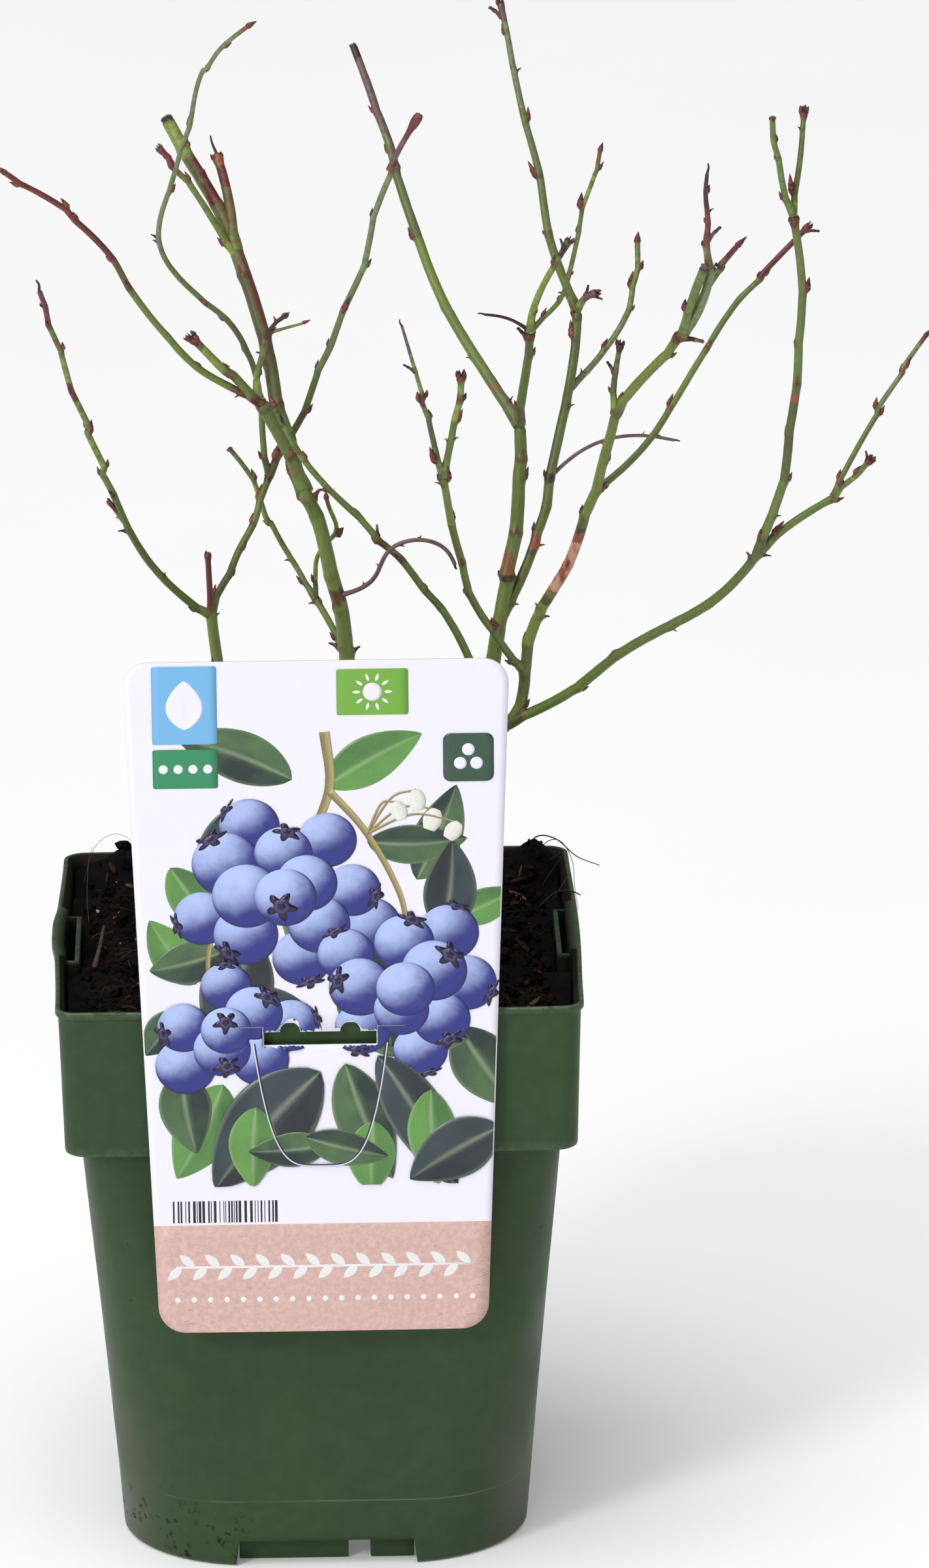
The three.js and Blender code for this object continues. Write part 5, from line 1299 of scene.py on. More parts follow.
class Print:
    """Flat printed shapes laid over each other on the card. Each takes the next layer, a step higher."""

    def __init__(self):
        self.skins = []
        self.layer = 1
        self.step = 1

    def lay(self, x, z, tone, wrap=False):
        """A grid of places on the card in tones. Rows go up and columns across, or rows go outwards
        and columns round."""
        points = on_card(np.asarray(x, float), np.asarray(z, float), self.layer)
        self.skins.append(grid(points, wrap=wrap, first=wrap, tone=np.broadcast_to(tone, points.shape)))
        self.layer += self.step

    def block(self, left, foot, right, top, tone, corner=0.6):
        """An oblong with round corners."""
        corner = min(corner, (right - left) / 2, (top - foot) / 2)
        rise = corner * (1 - np.cos(np.linspace(0, np.pi / 2, 5)))
        z = np.concatenate([foot + rise, top - rise[::-1]])
        edge = np.clip(np.minimum(z - foot, top - z), 0, corner)
        inset = corner - np.sqrt(corner ** 2 - (corner - edge) ** 2)
        x = lerp((left + inset)[:, None], (right - inset)[:, None], np.linspace(0, 1, 9))
        self.lay(x, z[:, None] + 0 * x, tone)

    def disc(self, x, z, radius, tone, sides=26):
        """A round dot: rings from its middle outwards."""
        ring = np.array([0.25, 0.6, 1.0])[:, None] * radius
        angle = -circle(sides)
        self.lay(x + ring * np.cos(angle), z + ring * np.sin(angle), tone, wrap=True)

    def stem(self, points, width):
        """A stem along a smooth path: lit on its left edge and dark on its right."""
        path = smooth_path([(x, 0, z) for x, z in points], 8 * len(points))[:, ::2]
        step = unit(np.gradient(path, axis=0))
        side = np.linspace(-1, 1, 5)
        half = np.linspace(width, width * 0.6, len(path))[:, None] / 2
        x = path[:, :1] + step[:, 1:] * side * half
        z = path[:, 1:] - step[:, :1] * side * half
        share = np.broadcast_to(smooth(-1, 1, side) * 0.9, x.shape)
        self.lay(x, z, mix(INKS["stem_light"], INKS["stem_dark"], share))

    def leaf(self, x, z, degrees, size, width, light, dark, bend=0.0, lit=1.0, foot=None):
        """A leaf: its half width goes with sin(pi t^0.85)^0.8 along it, and its midrib bends by a
        square. One half is darker, the veins are paler and the edge is thin and light. It stays on
        the card and over the picture's foot, if one is given."""
        rows, columns = LEAF_GRID if size > SMALL_LEAF else SMALL_LEAF_GRID
        share, side = np.linspace(0, 1, rows), np.linspace(-1, 1, columns)
        half = width / 2 * np.sin(np.pi * share ** 0.85).clip(0) ** 0.8
        heading = math.radians(degrees)
        spine_x = x + size * (share * math.cos(heading) - bend * share ** 2 * math.sin(heading))
        spine_z = z + size * (share * math.sin(heading) + bend * share ** 2 * math.cos(heading))
        step = unit(np.column_stack([np.gradient(spine_x), np.gradient(spine_z)]))
        px = spine_x[:, None] - step[:, 1:] * side * half[:, None]
        pz = spine_z[:, None] + step[:, :1] * side * half[:, None]
        if foot is not None:
            px = np.clip(px, -card_half(pz) + 0.3, card_half(pz) - 0.3)
            pz = np.maximum(pz, foot)
        out = np.abs(side)
        wave = rough(np.stack([px, pz, 0 * px + size], axis=-1), 7, 3, 2)
        share_lit = np.clip(lit + 0.3 * np.sign(side) * smooth(0.02, 0.3, out) + 0.28 * wave, 0, 1)
        vein = np.cos(2 * np.pi * (7 * share[:, None] - 2.0 * out))
        share_lit = share_lit + 0.12 * smooth(0.86, 1, vein) * (1 - out)
        rib = np.exp(-(side / 0.09) ** 2) * (1 - 0.5 * share[:, None])
        rim = smooth(0.88, 1.0, out) * 0.35
        tone = mix(dark, light, np.clip(share_lit, 0, 1))
        tone = mix(tone, mix(light, INKS["leaf_edge"], 0.45), np.clip(0.6 * rib + rim + 0 * wave, 0, 1))
        self.lay(px[:, ::-1], pz[:, ::-1], tone)

    def berry(self, x, z, radius, face, card, shadow):
        """A berry: a ball lit from the upper left, pale with bloom and deep blue in the shade, with
        its crown where it faces."""
        ring = np.sqrt(np.linspace(0.004, 1, 15))[:, None]
        angle = -circle(40)
        nx, nz = ring * np.cos(angle), ring * np.sin(angle)
        ny = np.sqrt(np.clip(1 - nx ** 2 - nz ** 2, 0, 1))
        light = np.clip(-0.42 * nx + 0.55 * ny + 0.6 * nz, 0, 1)
        places = np.stack([x + nx * radius, 0 * nx, z + nz * radius], axis=-1)
        bloom = 0.07 * rough(places, 2.6, 3, 4) + 0.05 * noise(places, 0.7, 8)
        lit = smooth(-0.02, 0.92, light + bloom - shadow * (0.4 + 0.6 * smooth(0.2, -0.9, nz)))
        tone = mix(card.berry_deep, card.berry_light, lit)
        shaded_edge = smooth(0.86, 1.0, ring + 0 * nx) * smooth(0.75, 0.1, light) * 0.75
        tone = mix(tone, INKS["berry_edge"], shaded_edge)
        tone = mix(tone, INKS["berry_gleam"], smooth(0.9, 1.0, light) * 0.35)
        self.lay(x + nx * radius, z + nz * radius * 0.96, tone, wrap=True)
        if face is not None:
            self.step = 0.3
            self.crown(x, z, radius, *face)
            self.step = 1

    def crown(self, x, z, radius, away, degrees):
        """A berry's crown: a ragged five-pointed star, narrowed where the berry turns away, round a
        hollow with a paler floor."""
        lean = away * 1.35
        x, z = placed(x, z, degrees, radius * math.sin(lean), 0)
        angle = -circle(40)
        for reach, star, ink in ((0.4, 0.34, "crown"), (0.24, 0.1, "crown_floor"),
                                 (0.13, 0.15, "crown_middle")):
            point = reach * radius * (1 + star * np.cos(5 * angle + degrees) + 0.06 * np.sin(11 * angle))
            ring = np.array([0.3, 1.0])[:, None] * point
            px, pz = placed(x, z, degrees, ring * np.cos(angle) * math.cos(lean), ring * np.sin(angle))
            self.lay(px, pz, INKS[ink], wrap=True)

    def bell(self, x, z, size, degrees):
        """A small white bell flower: an urn's outline, narrow at the mouth, shaded on its right."""
        share, side = np.linspace(0, 1, 14)[:, None], np.linspace(-1, 1, 9)
        half = size * (0.12 + 0.3 * np.sin(np.pi * np.clip(share * 0.93 + 0.02, 0, 1)) ** 0.7
                       + 0.05 * smooth(0.88, 1, share))
        px, pz = placed(x, z, degrees, size * share, side * half)
        shade = smooth(-0.3, 1.1, side + 0 * px) * 0.55 + 0.12 * np.cos(side * 9) * (share > 0.1)
        tone = mix(INKS["bell"], INKS["bell_shade"], np.clip(shade[:, ::-1], 0, 1))
        self.lay(px[:, ::-1], pz[:, ::-1], tone)


# Bunches of berries on the print: the middle of each, how many berries and their size.
BUNCHES = ((-8.0, 182.0, 13, 8.2), (21.0, 158.0, 11, 7.8), (-23.0, 148.0, 8, 7.4))
GOLDEN = math.radians(137.5)

# Leaves on the print: place, direction, length, width, bend and which pair of greens.
BACK_LEAVES = (
    (-6, 212, 150, 30, 13, 0.15, "deep"), (2, 210, 35, 27, 12, -0.1, "light"),
    (24, 186, 62, 26, 12, 0.1, "deep"), (33, 176, 20, 17, 9, 0.1, "light"),
    (-30, 160, 130, 20, 11, -0.1, "light"), (-33, 152, 215, 14, 10, 0.2, "deep"),
    (34, 148, -62, 25, 15, 0.1, "deep"), (-24, 134, 250, 27, 15, -0.1, "light"),
    (12, 196, -10, 24, 10, 0.2, "deep"), (-34, 138, 270, 22, 13, 0.15, "deep"),
    (-2, 152, 190, 30, 20, 0.1, "night"), (4, 156, -25, 34, 19, 0.1, "deep"),
    (-16, 172, 250, 32, 18, 0.1, "night"), (10, 172, 290, 30, 17, -0.1, "deep"),
    (0, 192, 262, 30, 16, 0.1, "deep"), (30, 172, 75, 24, 13, 0.15, "night"),
    (-12, 205, 215, 24, 12, 0.1, "night"), (-36, 190, 300, 22, 11, 0.1, "light"),
    (-24, 168, 200, 18, 11, -0.1, "deep"),
)
FRONT_LEAVES = (
    (0, 137, 222, 40, 21, 0.12, "night"), (6, 139, 285, 32, 14, 0.1, "deep"),
    (14, 141, 305, 40, 14, -0.12, "night"), (13, 124, 262, 19, 12, 0.1, "light"),
    (27, 132, 268, 25, 12, 0.1, "light"), (44, 122, 205, 26, 15, 0.1, "night"),
    (-16, 128, 262, 21, 12, 0.1, "light"), (2, 118, 190, 20, 9, -0.1, "deep"),
    (-4, 120, 340, 21, 9, 0.1, "deep"),
)
# Stems on the print: the points on the way and the width. The small bells hang from the fork by stalks.
FORK = (12, 198)
STEMS = ((((2, 224), (3, 210), (-2, 196), (-6, 184)), 2.6), (((3, 209), FORK, (20, 182), (22, 168)), 1.9),
         (((-2, 200), (-14, 190), (-26, 172), (-27, 156)), 1.7))
# The bells: place, size and direction.
BELLS = ((29, 204, 5.6, 250), (24, 209, 5.2, 275), (34.5, 200.5, 5.0, 235), (19, 206, 4.8, 290))
# The tiles' and the bars' left, foot, right and top.
TILES = {"drop": (-39.8, 221.3, -24.0, 241.0), "dots": (-39.8, 210.1, -24.0, 220.0),
         "sun": (5.0, 228.2, 22.4, 239.8), "ring": (30.7, 211.0, 43.0, 223.2)}
BARS = (-36.9, 97.9, -11.5, 103.6)
# The print's own colours, as the linear light that shaders take.
INKS = {
    "stem_dark": (0.19, 0.14, 0.05), "stem_light": (0.5, 0.43, 0.2), "leaf_edge": (0.75, 0.85, 0.55),
    "light_shade": (0.06, 0.17, 0.045), "deep_lit": (0.1, 0.2, 0.075), "night_lit": (0.045, 0.075, 0.085),
    "night_shade": (0.012, 0.018, 0.024), "berry_edge": (0.016, 0.014, 0.09),
    "berry_gleam": (0.62, 0.7, 0.95), "crown": (0.016, 0.008, 0.045), "crown_floor": (0.07, 0.055, 0.17),
    "crown_middle": (0.012, 0.006, 0.03), "bell": (0.86, 0.86, 0.8), "bell_shade": (0.46, 0.5, 0.42),
    "tile": (0.03, 0.28, 0.12), "bar": (0.012, 0.012, 0.014), "band_white": (0.84, 0.82, 0.84),
    # The cut and the slits are painted shade: dark lines where the card is cut through.
    "cut": (0.03, 0.03, 0.05), "cut_light": (0.75, 0.74, 0.86), "slit": (0.2, 0.2, 0.28),
    "slit_end": (0.25, 0.25, 0.33),
}
PICTURE_FOOT = 107.4
LEAF_GRID, SMALL_LEAF_GRID = (26, 15), (13, 7)  # how many rows and columns of points a leaf has
SMALL_LEAF = 6.0


def berry_bunch(page, card, middle_x, middle_z, count, radius, random):
    """A bunch: berry k lies at the golden angle times k, a distance that grows with the root of k.
    The far ones are laid first, and each turns its crown outwards."""
    for number in range(count - 1, -1, -1):
        away = math.sqrt(number / count)
        angle = GOLDEN * number + middle_x
        spread = radius * math.sqrt(count) * 0.78
        x = middle_x + away * spread * math.cos(angle) * 1.05
        z = middle_z + away * spread * math.sin(angle) * 0.88
        size = radius * random.uniform(0.84, 1.04)
        limit = float(card_half(np.array(z))) - 0.6 - size
        turn = math.degrees(angle) + random.uniform(-35, 35)
        face = (0.25 + 0.72 * away, turn) if random.random() < 0.72 else None
        shadow = 0.42 * away * random.uniform(0.4, 1.2)
        page.berry(float(np.clip(x, -limit, limit)), z, size, face, card, shadow)


def print_leaves(page, card, leaves):
    """Leaves of a list in their pairs of greens."""
    greens = {"light": (card.leaf_light, INKS["light_shade"], 0.6),
              "deep": (INKS["deep_lit"], card.leaf_deep, 0.35),
              "night": (INKS["night_lit"], INKS["night_shade"], 0.35)}
    for x, z, degrees, size, width, bend, kind in leaves:
        light, dark, lit = greens[kind]
        page.leaf(x, z, degrees, size, width, light, dark, bend, lit, PICTURE_FOOT)


def print_picture(page, card):
    """The picture: leafy sprigs, three bunches of berries, small white bells and dark leaves below."""
    random = np.random.default_rng(DRAWS["picture"])
    print_leaves(page, card, BACK_LEAVES)
    for points, width in STEMS:
        page.stem(points, width)
    for x, z, size, degrees in BELLS:
        page.stem((FORK, ((x + FORK[0]) / 2, (z + 205) / 2), (x, z)), 0.7)
        page.bell(x, z, size, degrees)
    for bunch in BUNCHES:
        berry_bunch(page, card, *bunch, random)
    print_leaves(page, card, FRONT_LEAVES)


def print_tiles(page, card):
    """Plain tiles in the card's corners: one with a drop, one with dots, one with a sun and a dark one
    with a ring of three dots."""
    white = card.stock
    page.block(*TILES["drop"], card.sky)
    page.leaf(-31.9, 225.0, 90, 12.4, 9.0, white, white)
    page.block(*TILES["dots"], INKS["tile"])
    for k in range(4):
        page.disc(-37.2 + 3.6 * k, 215.0, 1.15, white, 18)
    page.block(*TILES["sun"], card.tile)
    sun_x, sun_z = 13.7, 234.0
    page.disc(sun_x, sun_z, 2.3, white)
    for k in range(10):
        page.leaf(*placed(sun_x, sun_z, 36 * k, 2.9, 0), 36 * k, 2.0, 0.75, white, white)
    page.block(*TILES["ring"], card.panel, 1.8)
    for k in range(3):
        page.disc(*placed(36.85, 216.8, 90 + 120 * k, 2.3, 0), 1.55, white, 20)


def print_foot(page):
    """The foot of the card: bars of seeded widths, and white sprigs and dots over the brown band."""
    random = np.random.default_rng(DRAWS["foot"])
    page.layer, page.step = 2, 0
    x, foot, last, top = BARS
    while x < last:
        width = 0.22 * random.integers(1, 4)
        page.block(x, foot, x + width, top, INKS["bar"], 0.02)
        x += width + 0.25 * random.integers(1, 4)
    white = INKS["band_white"]
    page.block(-36.5, 85.9, 37.5, 86.5, white, 0.3)
    for k in range(24):
        side = 1 if k % 2 else -1
        page.leaf(-35 + 3.1 * k, 86.2 + 0.2 * side, 138 * side, 4.6, 2.3, white, white)
    for k in range(19):
        page.disc(-36 + 4.05 * k, 77.6, 0.75, white, 14)
    page.step = 1


def print_cuts(page):
    """The cut of the tongue that bends over the rim, drawn in ink: a dark line that is painted shade in the
    cut, with a white one inside it, and the slot's two slits in dark grey, also painted shade where the card
    is cut. Half width 16.1 |t|^0.55 and height 112.8 + 31.6 |t|^2.2, for t from -1 to 1."""
    t = np.linspace(-1, 1, 61)
    x = 16.1 * np.sign(t) * np.abs(t) ** 0.55
    z = 112.8 + 31.6 * np.abs(t) ** 2.2
    step = unit(np.column_stack([np.gradient(x), np.gradient(z)]))
    # Painted shade in the cut, then a white line inside it.
    for offset, width, ink in ((0.0, 0.34, "cut"), (0.34, 0.3, "cut_light")):
        side = np.array([offset - width / 2, offset + width / 2])
        px = x[:, None] + step[:, 1:] * side
        pz = z[:, None] - step[:, :1] * side
        page.lay(px[:, ::-1], pz[:, ::-1], INKS[ink])
    for sign in (-1, 1):
        for far, foot, top, ink in ((20.9, 148.6, 148.85, "slit"), (14.2, 143.9, 148.8, "slit_end")):
            left, right = sorted((sign * 13.9, sign * far))
            page.block(left, foot, right, top, INKS[ink], 0.1)


def make_print(card):
    """The print: its picture, tiles and foot in one piece, and the brown band in another."""
    band = Print()
    z = np.concatenate([CARD["foot_z"] + CARD_CORNER, np.linspace(80, 97.3, 6)])
    x = np.linspace(-1, 1, 21) * card_half(z)[:, None]
    band.lay(x, z[:, None] + 0 * x, card.kraft)
    finish_print("card_band", band, [kraft_finish(card)])
    page = Print()
    print_foot(page)
    print_picture(page, card)
    print_cuts(page)
    page.layer = len(BACK_LEAVES) + 4
    print_tiles(page, card)
    finish_print("card_print", page, [ink_finish()])


def finish_print(name, page, finishes):
    """Puts a print's shapes into a mesh and gives them the thickness of ink."""
    piece = put(name, clear_of_slot(joined(page.skins)), finishes)
    ink = piece.modifiers.new("ink", "SOLIDIFY")
    ink.thickness = LAYER * MM * 0.7
    ink.offset = -1.0


def clear_of_slot(skin):
    """A print without the faces that would lie over the slot."""
    x, z = skin.points[:, 0], skin.points[:, 2]
    over = (np.abs(x) < SLOT["half"]) & (z > SLOT["foot_z"]) & (z < slot_top(x))
    clear = ~np.where(skin.faces >= 0, over[skin.faces], False).any(axis=1)
    return Skin(skin.points, skin.faces[clear], skin.tone, skin.finish[clear])


# ---------------------------------------------------------------- growing the limbs


class Limb:
    """A limb of the table with its foot, length, seed and what grows on it. Its centre line runs
    straight from foot to tip, plus the sum of wave k times the sine of k half-turns, plus a kink at
    each node: straight from node to node, a little to one side and then to the other."""

    def __init__(self, row, foot, seed):
        self.name, self.on, self.fused, self.split = row.name, row.on, row.fused, row.twigs
        self.foot = np.array(foot, float)
        self.tip = np.array(row.tip, float)
        self.waves = np.array(row.waves, float).reshape(-1, 3)
        self.ends = row.radius
        self.tones = row.tones
        self.seed = seed
        self.joints, self.kinks = np.array([0.0, 1.0]), np.zeros((2, 3))
        steps = self.point(np.linspace(0, 1, 201))
        self.length = float(np.linalg.norm(np.diff(steps, axis=0), axis=1).sum())
        self.growths = self.list_growths(row.marks)
        self.add_kinks()

    def point(self, share):
        """Points of the centre line at shares of the way."""
        share = np.asarray(share, float)
        kink = np.stack([np.interp(share, self.joints, self.kinks[:, axis]) for axis in range(3)], axis=-1)
        place = lerp(self.foot, self.tip, share[..., None]) + kink
        for order, wave in enumerate(self.waves, start=1):
            place = place + wave * np.sin(order * np.pi * share[..., None])
        return place

    def radius(self, share):
        """The radius, straight from one end's to the other's, wider where the stem meets the ground."""
        radius = lerp(self.ends[0], self.ends[1], np.clip(share, 0, 1))
        if self.on:
            return radius
        height = np.maximum(self.point(share)[..., 2] - GROUND, 0)
        return radius * (1 + FLARE["share"] * np.exp(-height / FLARE["height"]))

    def axes(self, share):
        """The limb's direction and two directions square to it. On an upright limb the first points
        to -X and the second to -Y."""
        share = np.asarray(share, float)
        along = unit(self.point(share + NUDGE) - self.point(share - NUDGE))
        first = unit(np.cross(along, np.array([0, 1.0, 0])))
        return along, first, np.cross(along, first)

    def out(self, share, degrees):
        """The direction that points away from the limb at an angle round it."""
        _, first, second = self.axes(share)
        angle = np.radians(np.asarray(degrees, float))[..., None]
        return first * np.cos(angle) + second * np.sin(angle)

    def list_growths(self, marks):
        """All that stands out on the limb, as rows (kind, share, degrees, length). The marks come
        first, and a ruled bud near a mark is left out."""
        rows = list(marks)
        taken = np.array([mark[1] for mark in rows] or [9.0])
        if self.name in WITHOUT_BUDS:
            return rows
        parts = [(0.0, 1.0)] if self.split in (0.0, 1.0) else [(0.0, self.split), (self.split, 1.0)]
        for start, end in parts:
            for share, degrees, size in ruled_buds(self, start, end):
                if np.abs(taken - share).min() * self.length > NEAR_MARK:
                    rows.append(("bud", share, degrees % 360, size))
        return rows

    def add_kinks(self):
        """A kink at each bud: an offset across the limb that changes side from one to the next."""
        shares = sorted(share for kind, share, _, _ in self.growths if kind in KINK["kinds"])
        low, high = KINK["clear"], self.length - KINK["clear"]
        shares = [share for share in shares if low < share * self.length < high]
        joints = np.array([0.0, *shares, 1.0])
        _, first, second = self.axes(joints)
        order = np.arange(len(joints))
        cells = np.stack([order, order * 0 + self.seed, order * 0], axis=-1)
        size = KINK["size"] * (0.6 + 0.8 * hashed(cells))
        size[[0, -1]] = 0
        sign = np.where(order % 2, 1, -1)
        self.kinks = (size * sign)[:, None] * (first + 0.5 * second)
        self.joints = joints


@functools.cache
def grow_limbs():
    """Every limb of the table by name. A limb's foot is on the limb that it grows on."""
    limbs = {}
    for order, row in enumerate(LIMBS):
        foot = row.foot or limbs[row.on].point(row.at)
        limbs[row.name] = Limb(row, foot, SEED["first"] + SEED["step"] * order)
    return limbs


def seeded(seed):
    """The source's repeatable numbers from 0 to 1: state * 1664525 + 1013904223, over 2^32."""
    state = seed
    while True:
        state = (state * 1664525 + 1013904223) % 2 ** 32
        yield state / 2 ** 32


def ruled_buds(limb, start, end):
    """The source's buds on a stretch of a limb, as (share, degrees round the limb, length)."""
    numbers = seeded(limb.seed)
    place = start * limb.length + BUD["margin"]
    count = 0
    while place < end * limb.length - BUD["margin"]:
        degrees = BUD["turn"] * count + BUD["scatter"] * next(numbers)
        size = BUD["length"] * (BUD["spur"] if next(numbers) < BUD["spur_chance"] else 1)
        yield place / limb.length, degrees, size
        place += BUD["spacing"] * (BUD["shortest"] + BUD["spread"] * next(numbers))
        count += 1


def growths_of(*kinds):
    """Every growth of some kinds on all the limbs, as rows (limb, kind, share, degrees, length)."""
    return [(limb, *row) for limb in grow_limbs().values() for row in limb.growths if row[0] in kinds]


# ---------------------------------------------------------------- bark and twigs

# Shades of bark dealt out over the twigs: one of the bush's colours, or two of them half and half.
TWIG_SHADES = ("green", "bright", "deep", "sage", "green rust", "rust", "maroon", "green maroon", "orange",
               "dark", "dead", "peel")
BARK_SHADES = ("green", "bright", "deep", "sage", "rust", "maroon", "orange", "peel", "dark", "dead",
               "woody")
SOFT_TONES = ("maroon", "dead", "bright", "sage")  # the stretches of colour that fade out slowly
DEAD_MASSES = ("curled_dead", "long_dead")
RING_KINDS = ("scales", "stub", "twiglet")
# How many sides each kind of limb has, and how far apart its rings are in millimetres.
RINGS = {"cane": (28, 0.6), "bough": (20, 0.6), "stub": (16, 0.4), "twig": (14, 0.36)}
BURIED = 4.0  # how far the short stem goes on below its foot
# How much wider an end is and how far back that reaches, in millimetres.
END_KNOBS = {"scales": (0.35, 2.6), "flare": (0.75, 5.5)}
THREAD = 0.5  # the most that a dead thread is thick, as a radius


def limb_shares(limb, start, end, step):
    """Shares of the way along a stretch of a limb, with a few close together at its tip."""
    radius = float(limb.radius(1.0)) / limb.length
    last = end - radius if end >= 1 else end
    shares = np.linspace(start, last, max(3, int((last - start) * limb.length / step)))
    if end >= 1:
        shares = np.concatenate([shares, last + radius * np.sin(np.array([0.35, 0.7, 1.05, 1.4]))])
    return shares


def bark_skin(limb, start, end, kind, bush):
    """A stretch of a limb: rings of the limb's radius times (1 + relief * noise), wider at each node
    by exp(-(d / 1.1)^2), most on the bud's side, and at its foot by a collar. Its tones follow."""
    sides, step = RINGS[kind]
    shares = limb_shares(limb, start, end, step)
    _, first, second = limb.axes(shares)
    angle = circle(sides)
    out = first[:, None] * np.cos(angle)[:, None] + second[:, None] * np.sin(angle)[:, None]
    centre = limb.point(shares)
    radius = limb.radius(shares)[:, None] * np.ones(sides)
    places = centre[:, None] + out * radius[..., None]
    swell = bush.relief * rough(places * (1.4, 1.4, 0.5), 2.6, 3, limb.seed % 13)
    for growth, share, degrees, size in limb.growths:
        hump = np.exp(-((shares - share) * limb.length / 1.1) ** 2)[:, None]
        side = 0.75 if growth in RING_KINDS else 0.35 + 0.65 * np.cos(angle - math.radians(degrees))
        swell = swell + bush.node_swell * min(1.0, size / 2.4) * hump * side
    if limb.on:
        swell = swell + 0.3 * np.exp(-(shares * limb.length / (2.2 + 1.2 * limb.ends[0])) ** 2)[:, None]
    taper = np.ones_like(shares)
    if end >= 1:
        into = np.clip((limb.length * (shares - 1) + limb.radius(1.0)) / limb.radius(1.0), 0, 0.999)
        taper = np.sqrt(1 - into ** 2)
        ending, _ = ENDS.get(limb.name, ("bud", 0))
        knob, reach = END_KNOBS.get(ending, (0, 1))
        swell = swell + knob * smooth(reach, 0.3 * reach, (1 - shares) * limb.length)[:, None]
    places = centre[:, None] + out * (radius * (1 + swell) * taper[:, None])[..., None]
    return grid(places, first=True, last=True, tone=bark_tone(limb, shares, places, out, angle, bush))


def bark_tone(limb, shares, places, out, angle, bush):
    """The bark's colours. Each stretch between two nodes has its own green, with a painted sheen along its
    upper side: a paler grey-green strip that stands for a reflection. Rust and a dark line mark each node,
    and the limb's own stretches come last."""
    seed = limb.seed % 17
    shade = {name: np.array(getattr(bush, name)) for name in BARK_SHADES}
    fuzz = rough(places, 1.1, 2, seed + 5)
    between = np.searchsorted(limb.joints, shares[:, None] + 0.25 * fuzz / limb.length)
    cells = np.stack([between, between * 0 + limb.seed, between * 0], axis=-1)
    drift = 0.5 + 0.5 * rough(places * (1, 1, 0.3), 7, 3, seed)
    sunny = hashed(cells) + 0.35 * (drift - 0.5)
    tone = mix(shade["green"], shade["bright"], 0.85 * smooth(0.35, 1.0, sunny))
    older = hashed(cells + (0, 0, 1)) + 0.7 * (drift - 0.5)
    tone = mix(tone, shade["deep"], 0.75 * smooth(0.5, 1.1, older))
    # Painted sheen: the side that faces up and to the right is blended towards grey-green, standing for a
    # reflection.
    upper = smooth(0.2, 0.9, out @ unit(np.array([0.45, -0.35, 0.6])))
    tone = mix(tone, shade["sage"], 0.6 * upper * smooth(0.1, 0.9, hashed(cells + (0, 0, 2))))
    flush = smooth(0.55, 1.0, hashed(cells + (0, 0, 3))) * smooth(0.3, 0.75, drift)
    tone = mix(tone, shade["rust"], 0.3 * flush)
    for kind, share, degrees, _ in limb.growths:
        away = (shares[:, None] - share) * limb.length + 0.3 * fuzz
        ring = kind in RING_KINDS
        side = 1.0 if ring else smooth(-0.4, 0.9, np.cos(angle - math.radians(degrees)))
        patch = np.exp(-((away - 0.1) / 0.55) ** 2) * side
        tone = mix(tone, shade["rust"], (0.55 if ring else 0.8) * patch)
        line = np.exp(-((away + 0.65) / 0.2) ** 2) * (0.3 + 0.7 * side) * (fuzz > -0.3)
        tone = mix(tone, shade["dark"], 0.5 * line)
    if limb.on:
        foot = shares[:, None] * limb.length - limb.ends[0] * 1.5 + 0.5 * fuzz
        tone = mix(tone, shade["rust"], 0.4 * np.exp(-(foot / 0.6) ** 2))
    blot = rough(places, 2.6, 2, seed + 9)
    for name, start, end, strength, *sides in limb.tones:
        place = shares[:, None] + (0.4 * fuzz + 0.8 * blot) / limb.length
        edge = (1.6 if name in SOFT_TONES else 0.35) / limb.length
        window = smooth(start - edge, start + edge, place) * (1 - smooth(end - edge, end + edge, place))
        for side in sides:
            window = window * smooth(-0.5, 0.8, np.cos(angle - math.radians(side)))
        if name == "orange":
            window = window * smooth(-0.6, 0.0, blot)
        paint = shade[name]
        if name == "peel":
            paint = mix(paint, shade["orange"], smooth(-0.2, 0.7, rough(places * (1.6, 1.6, 0.5), 2.2, 3, 3)))
        tone = mix(tone, paint, np.clip(window * (strength * 1.2 + 0.12 * fuzz), 0, 1))
    return tone


def node_of(limb):
    """The node that stands for a limb's lower part."""
    return limb.name if limb.name in NODES else limb.name + "_bough"


def mass_of(limb):
    """The name of the mass of twigs that a limb's upper part belongs to, without its ending."""
    return (limb.fused or limb.name).replace("_twig", "")


def make_bark(bush):
    """The short stem, the canes and the boughs, a piece each, up to where their twigs start."""
    limbs = grow_limbs()
    for limb in limbs.values():
        node = node_of(limb)
        if limb.fused or limb.split == 0 or node not in NODES:
            continue
        is_cane = limb.name == node
        start = 0.0 if limb.on else -BURIED / limb.length
        skins = [bark_skin(limb, start, limb.split, "cane" if is_cane else "bough", bush)]
        skins += [bark_skin(other, 0.0, 1.0, "stub", bush) for other in limbs.values()
                  if other.fused == limb.name and limb.split == 1]
        put(node.replace("_bough", "") + "_bark", joined(skins), [bark_finish(node + "_bark")], [node])


def dealt(skin, shades):
    """A skin whose faces each take the finish of the nearest shade to their own tone, nudged by noise
    so that the steps are ragged."""
    corners = np.where(skin.faces >= 0, skin.faces, skin.faces[:, :1])
    middle = skin.points[corners].mean(axis=1)
    tone = skin.tone[corners].mean(axis=1)
    screen = np.sqrt(tone) + 0.03 * rough(middle, 1.2, 2, 6)[:, None]
    away = np.linalg.norm(screen[:, None] - np.sqrt(shades)[None], axis=2)
    return Skin(skin.points, skin.faces, skin.tone, away.argmin(axis=1))


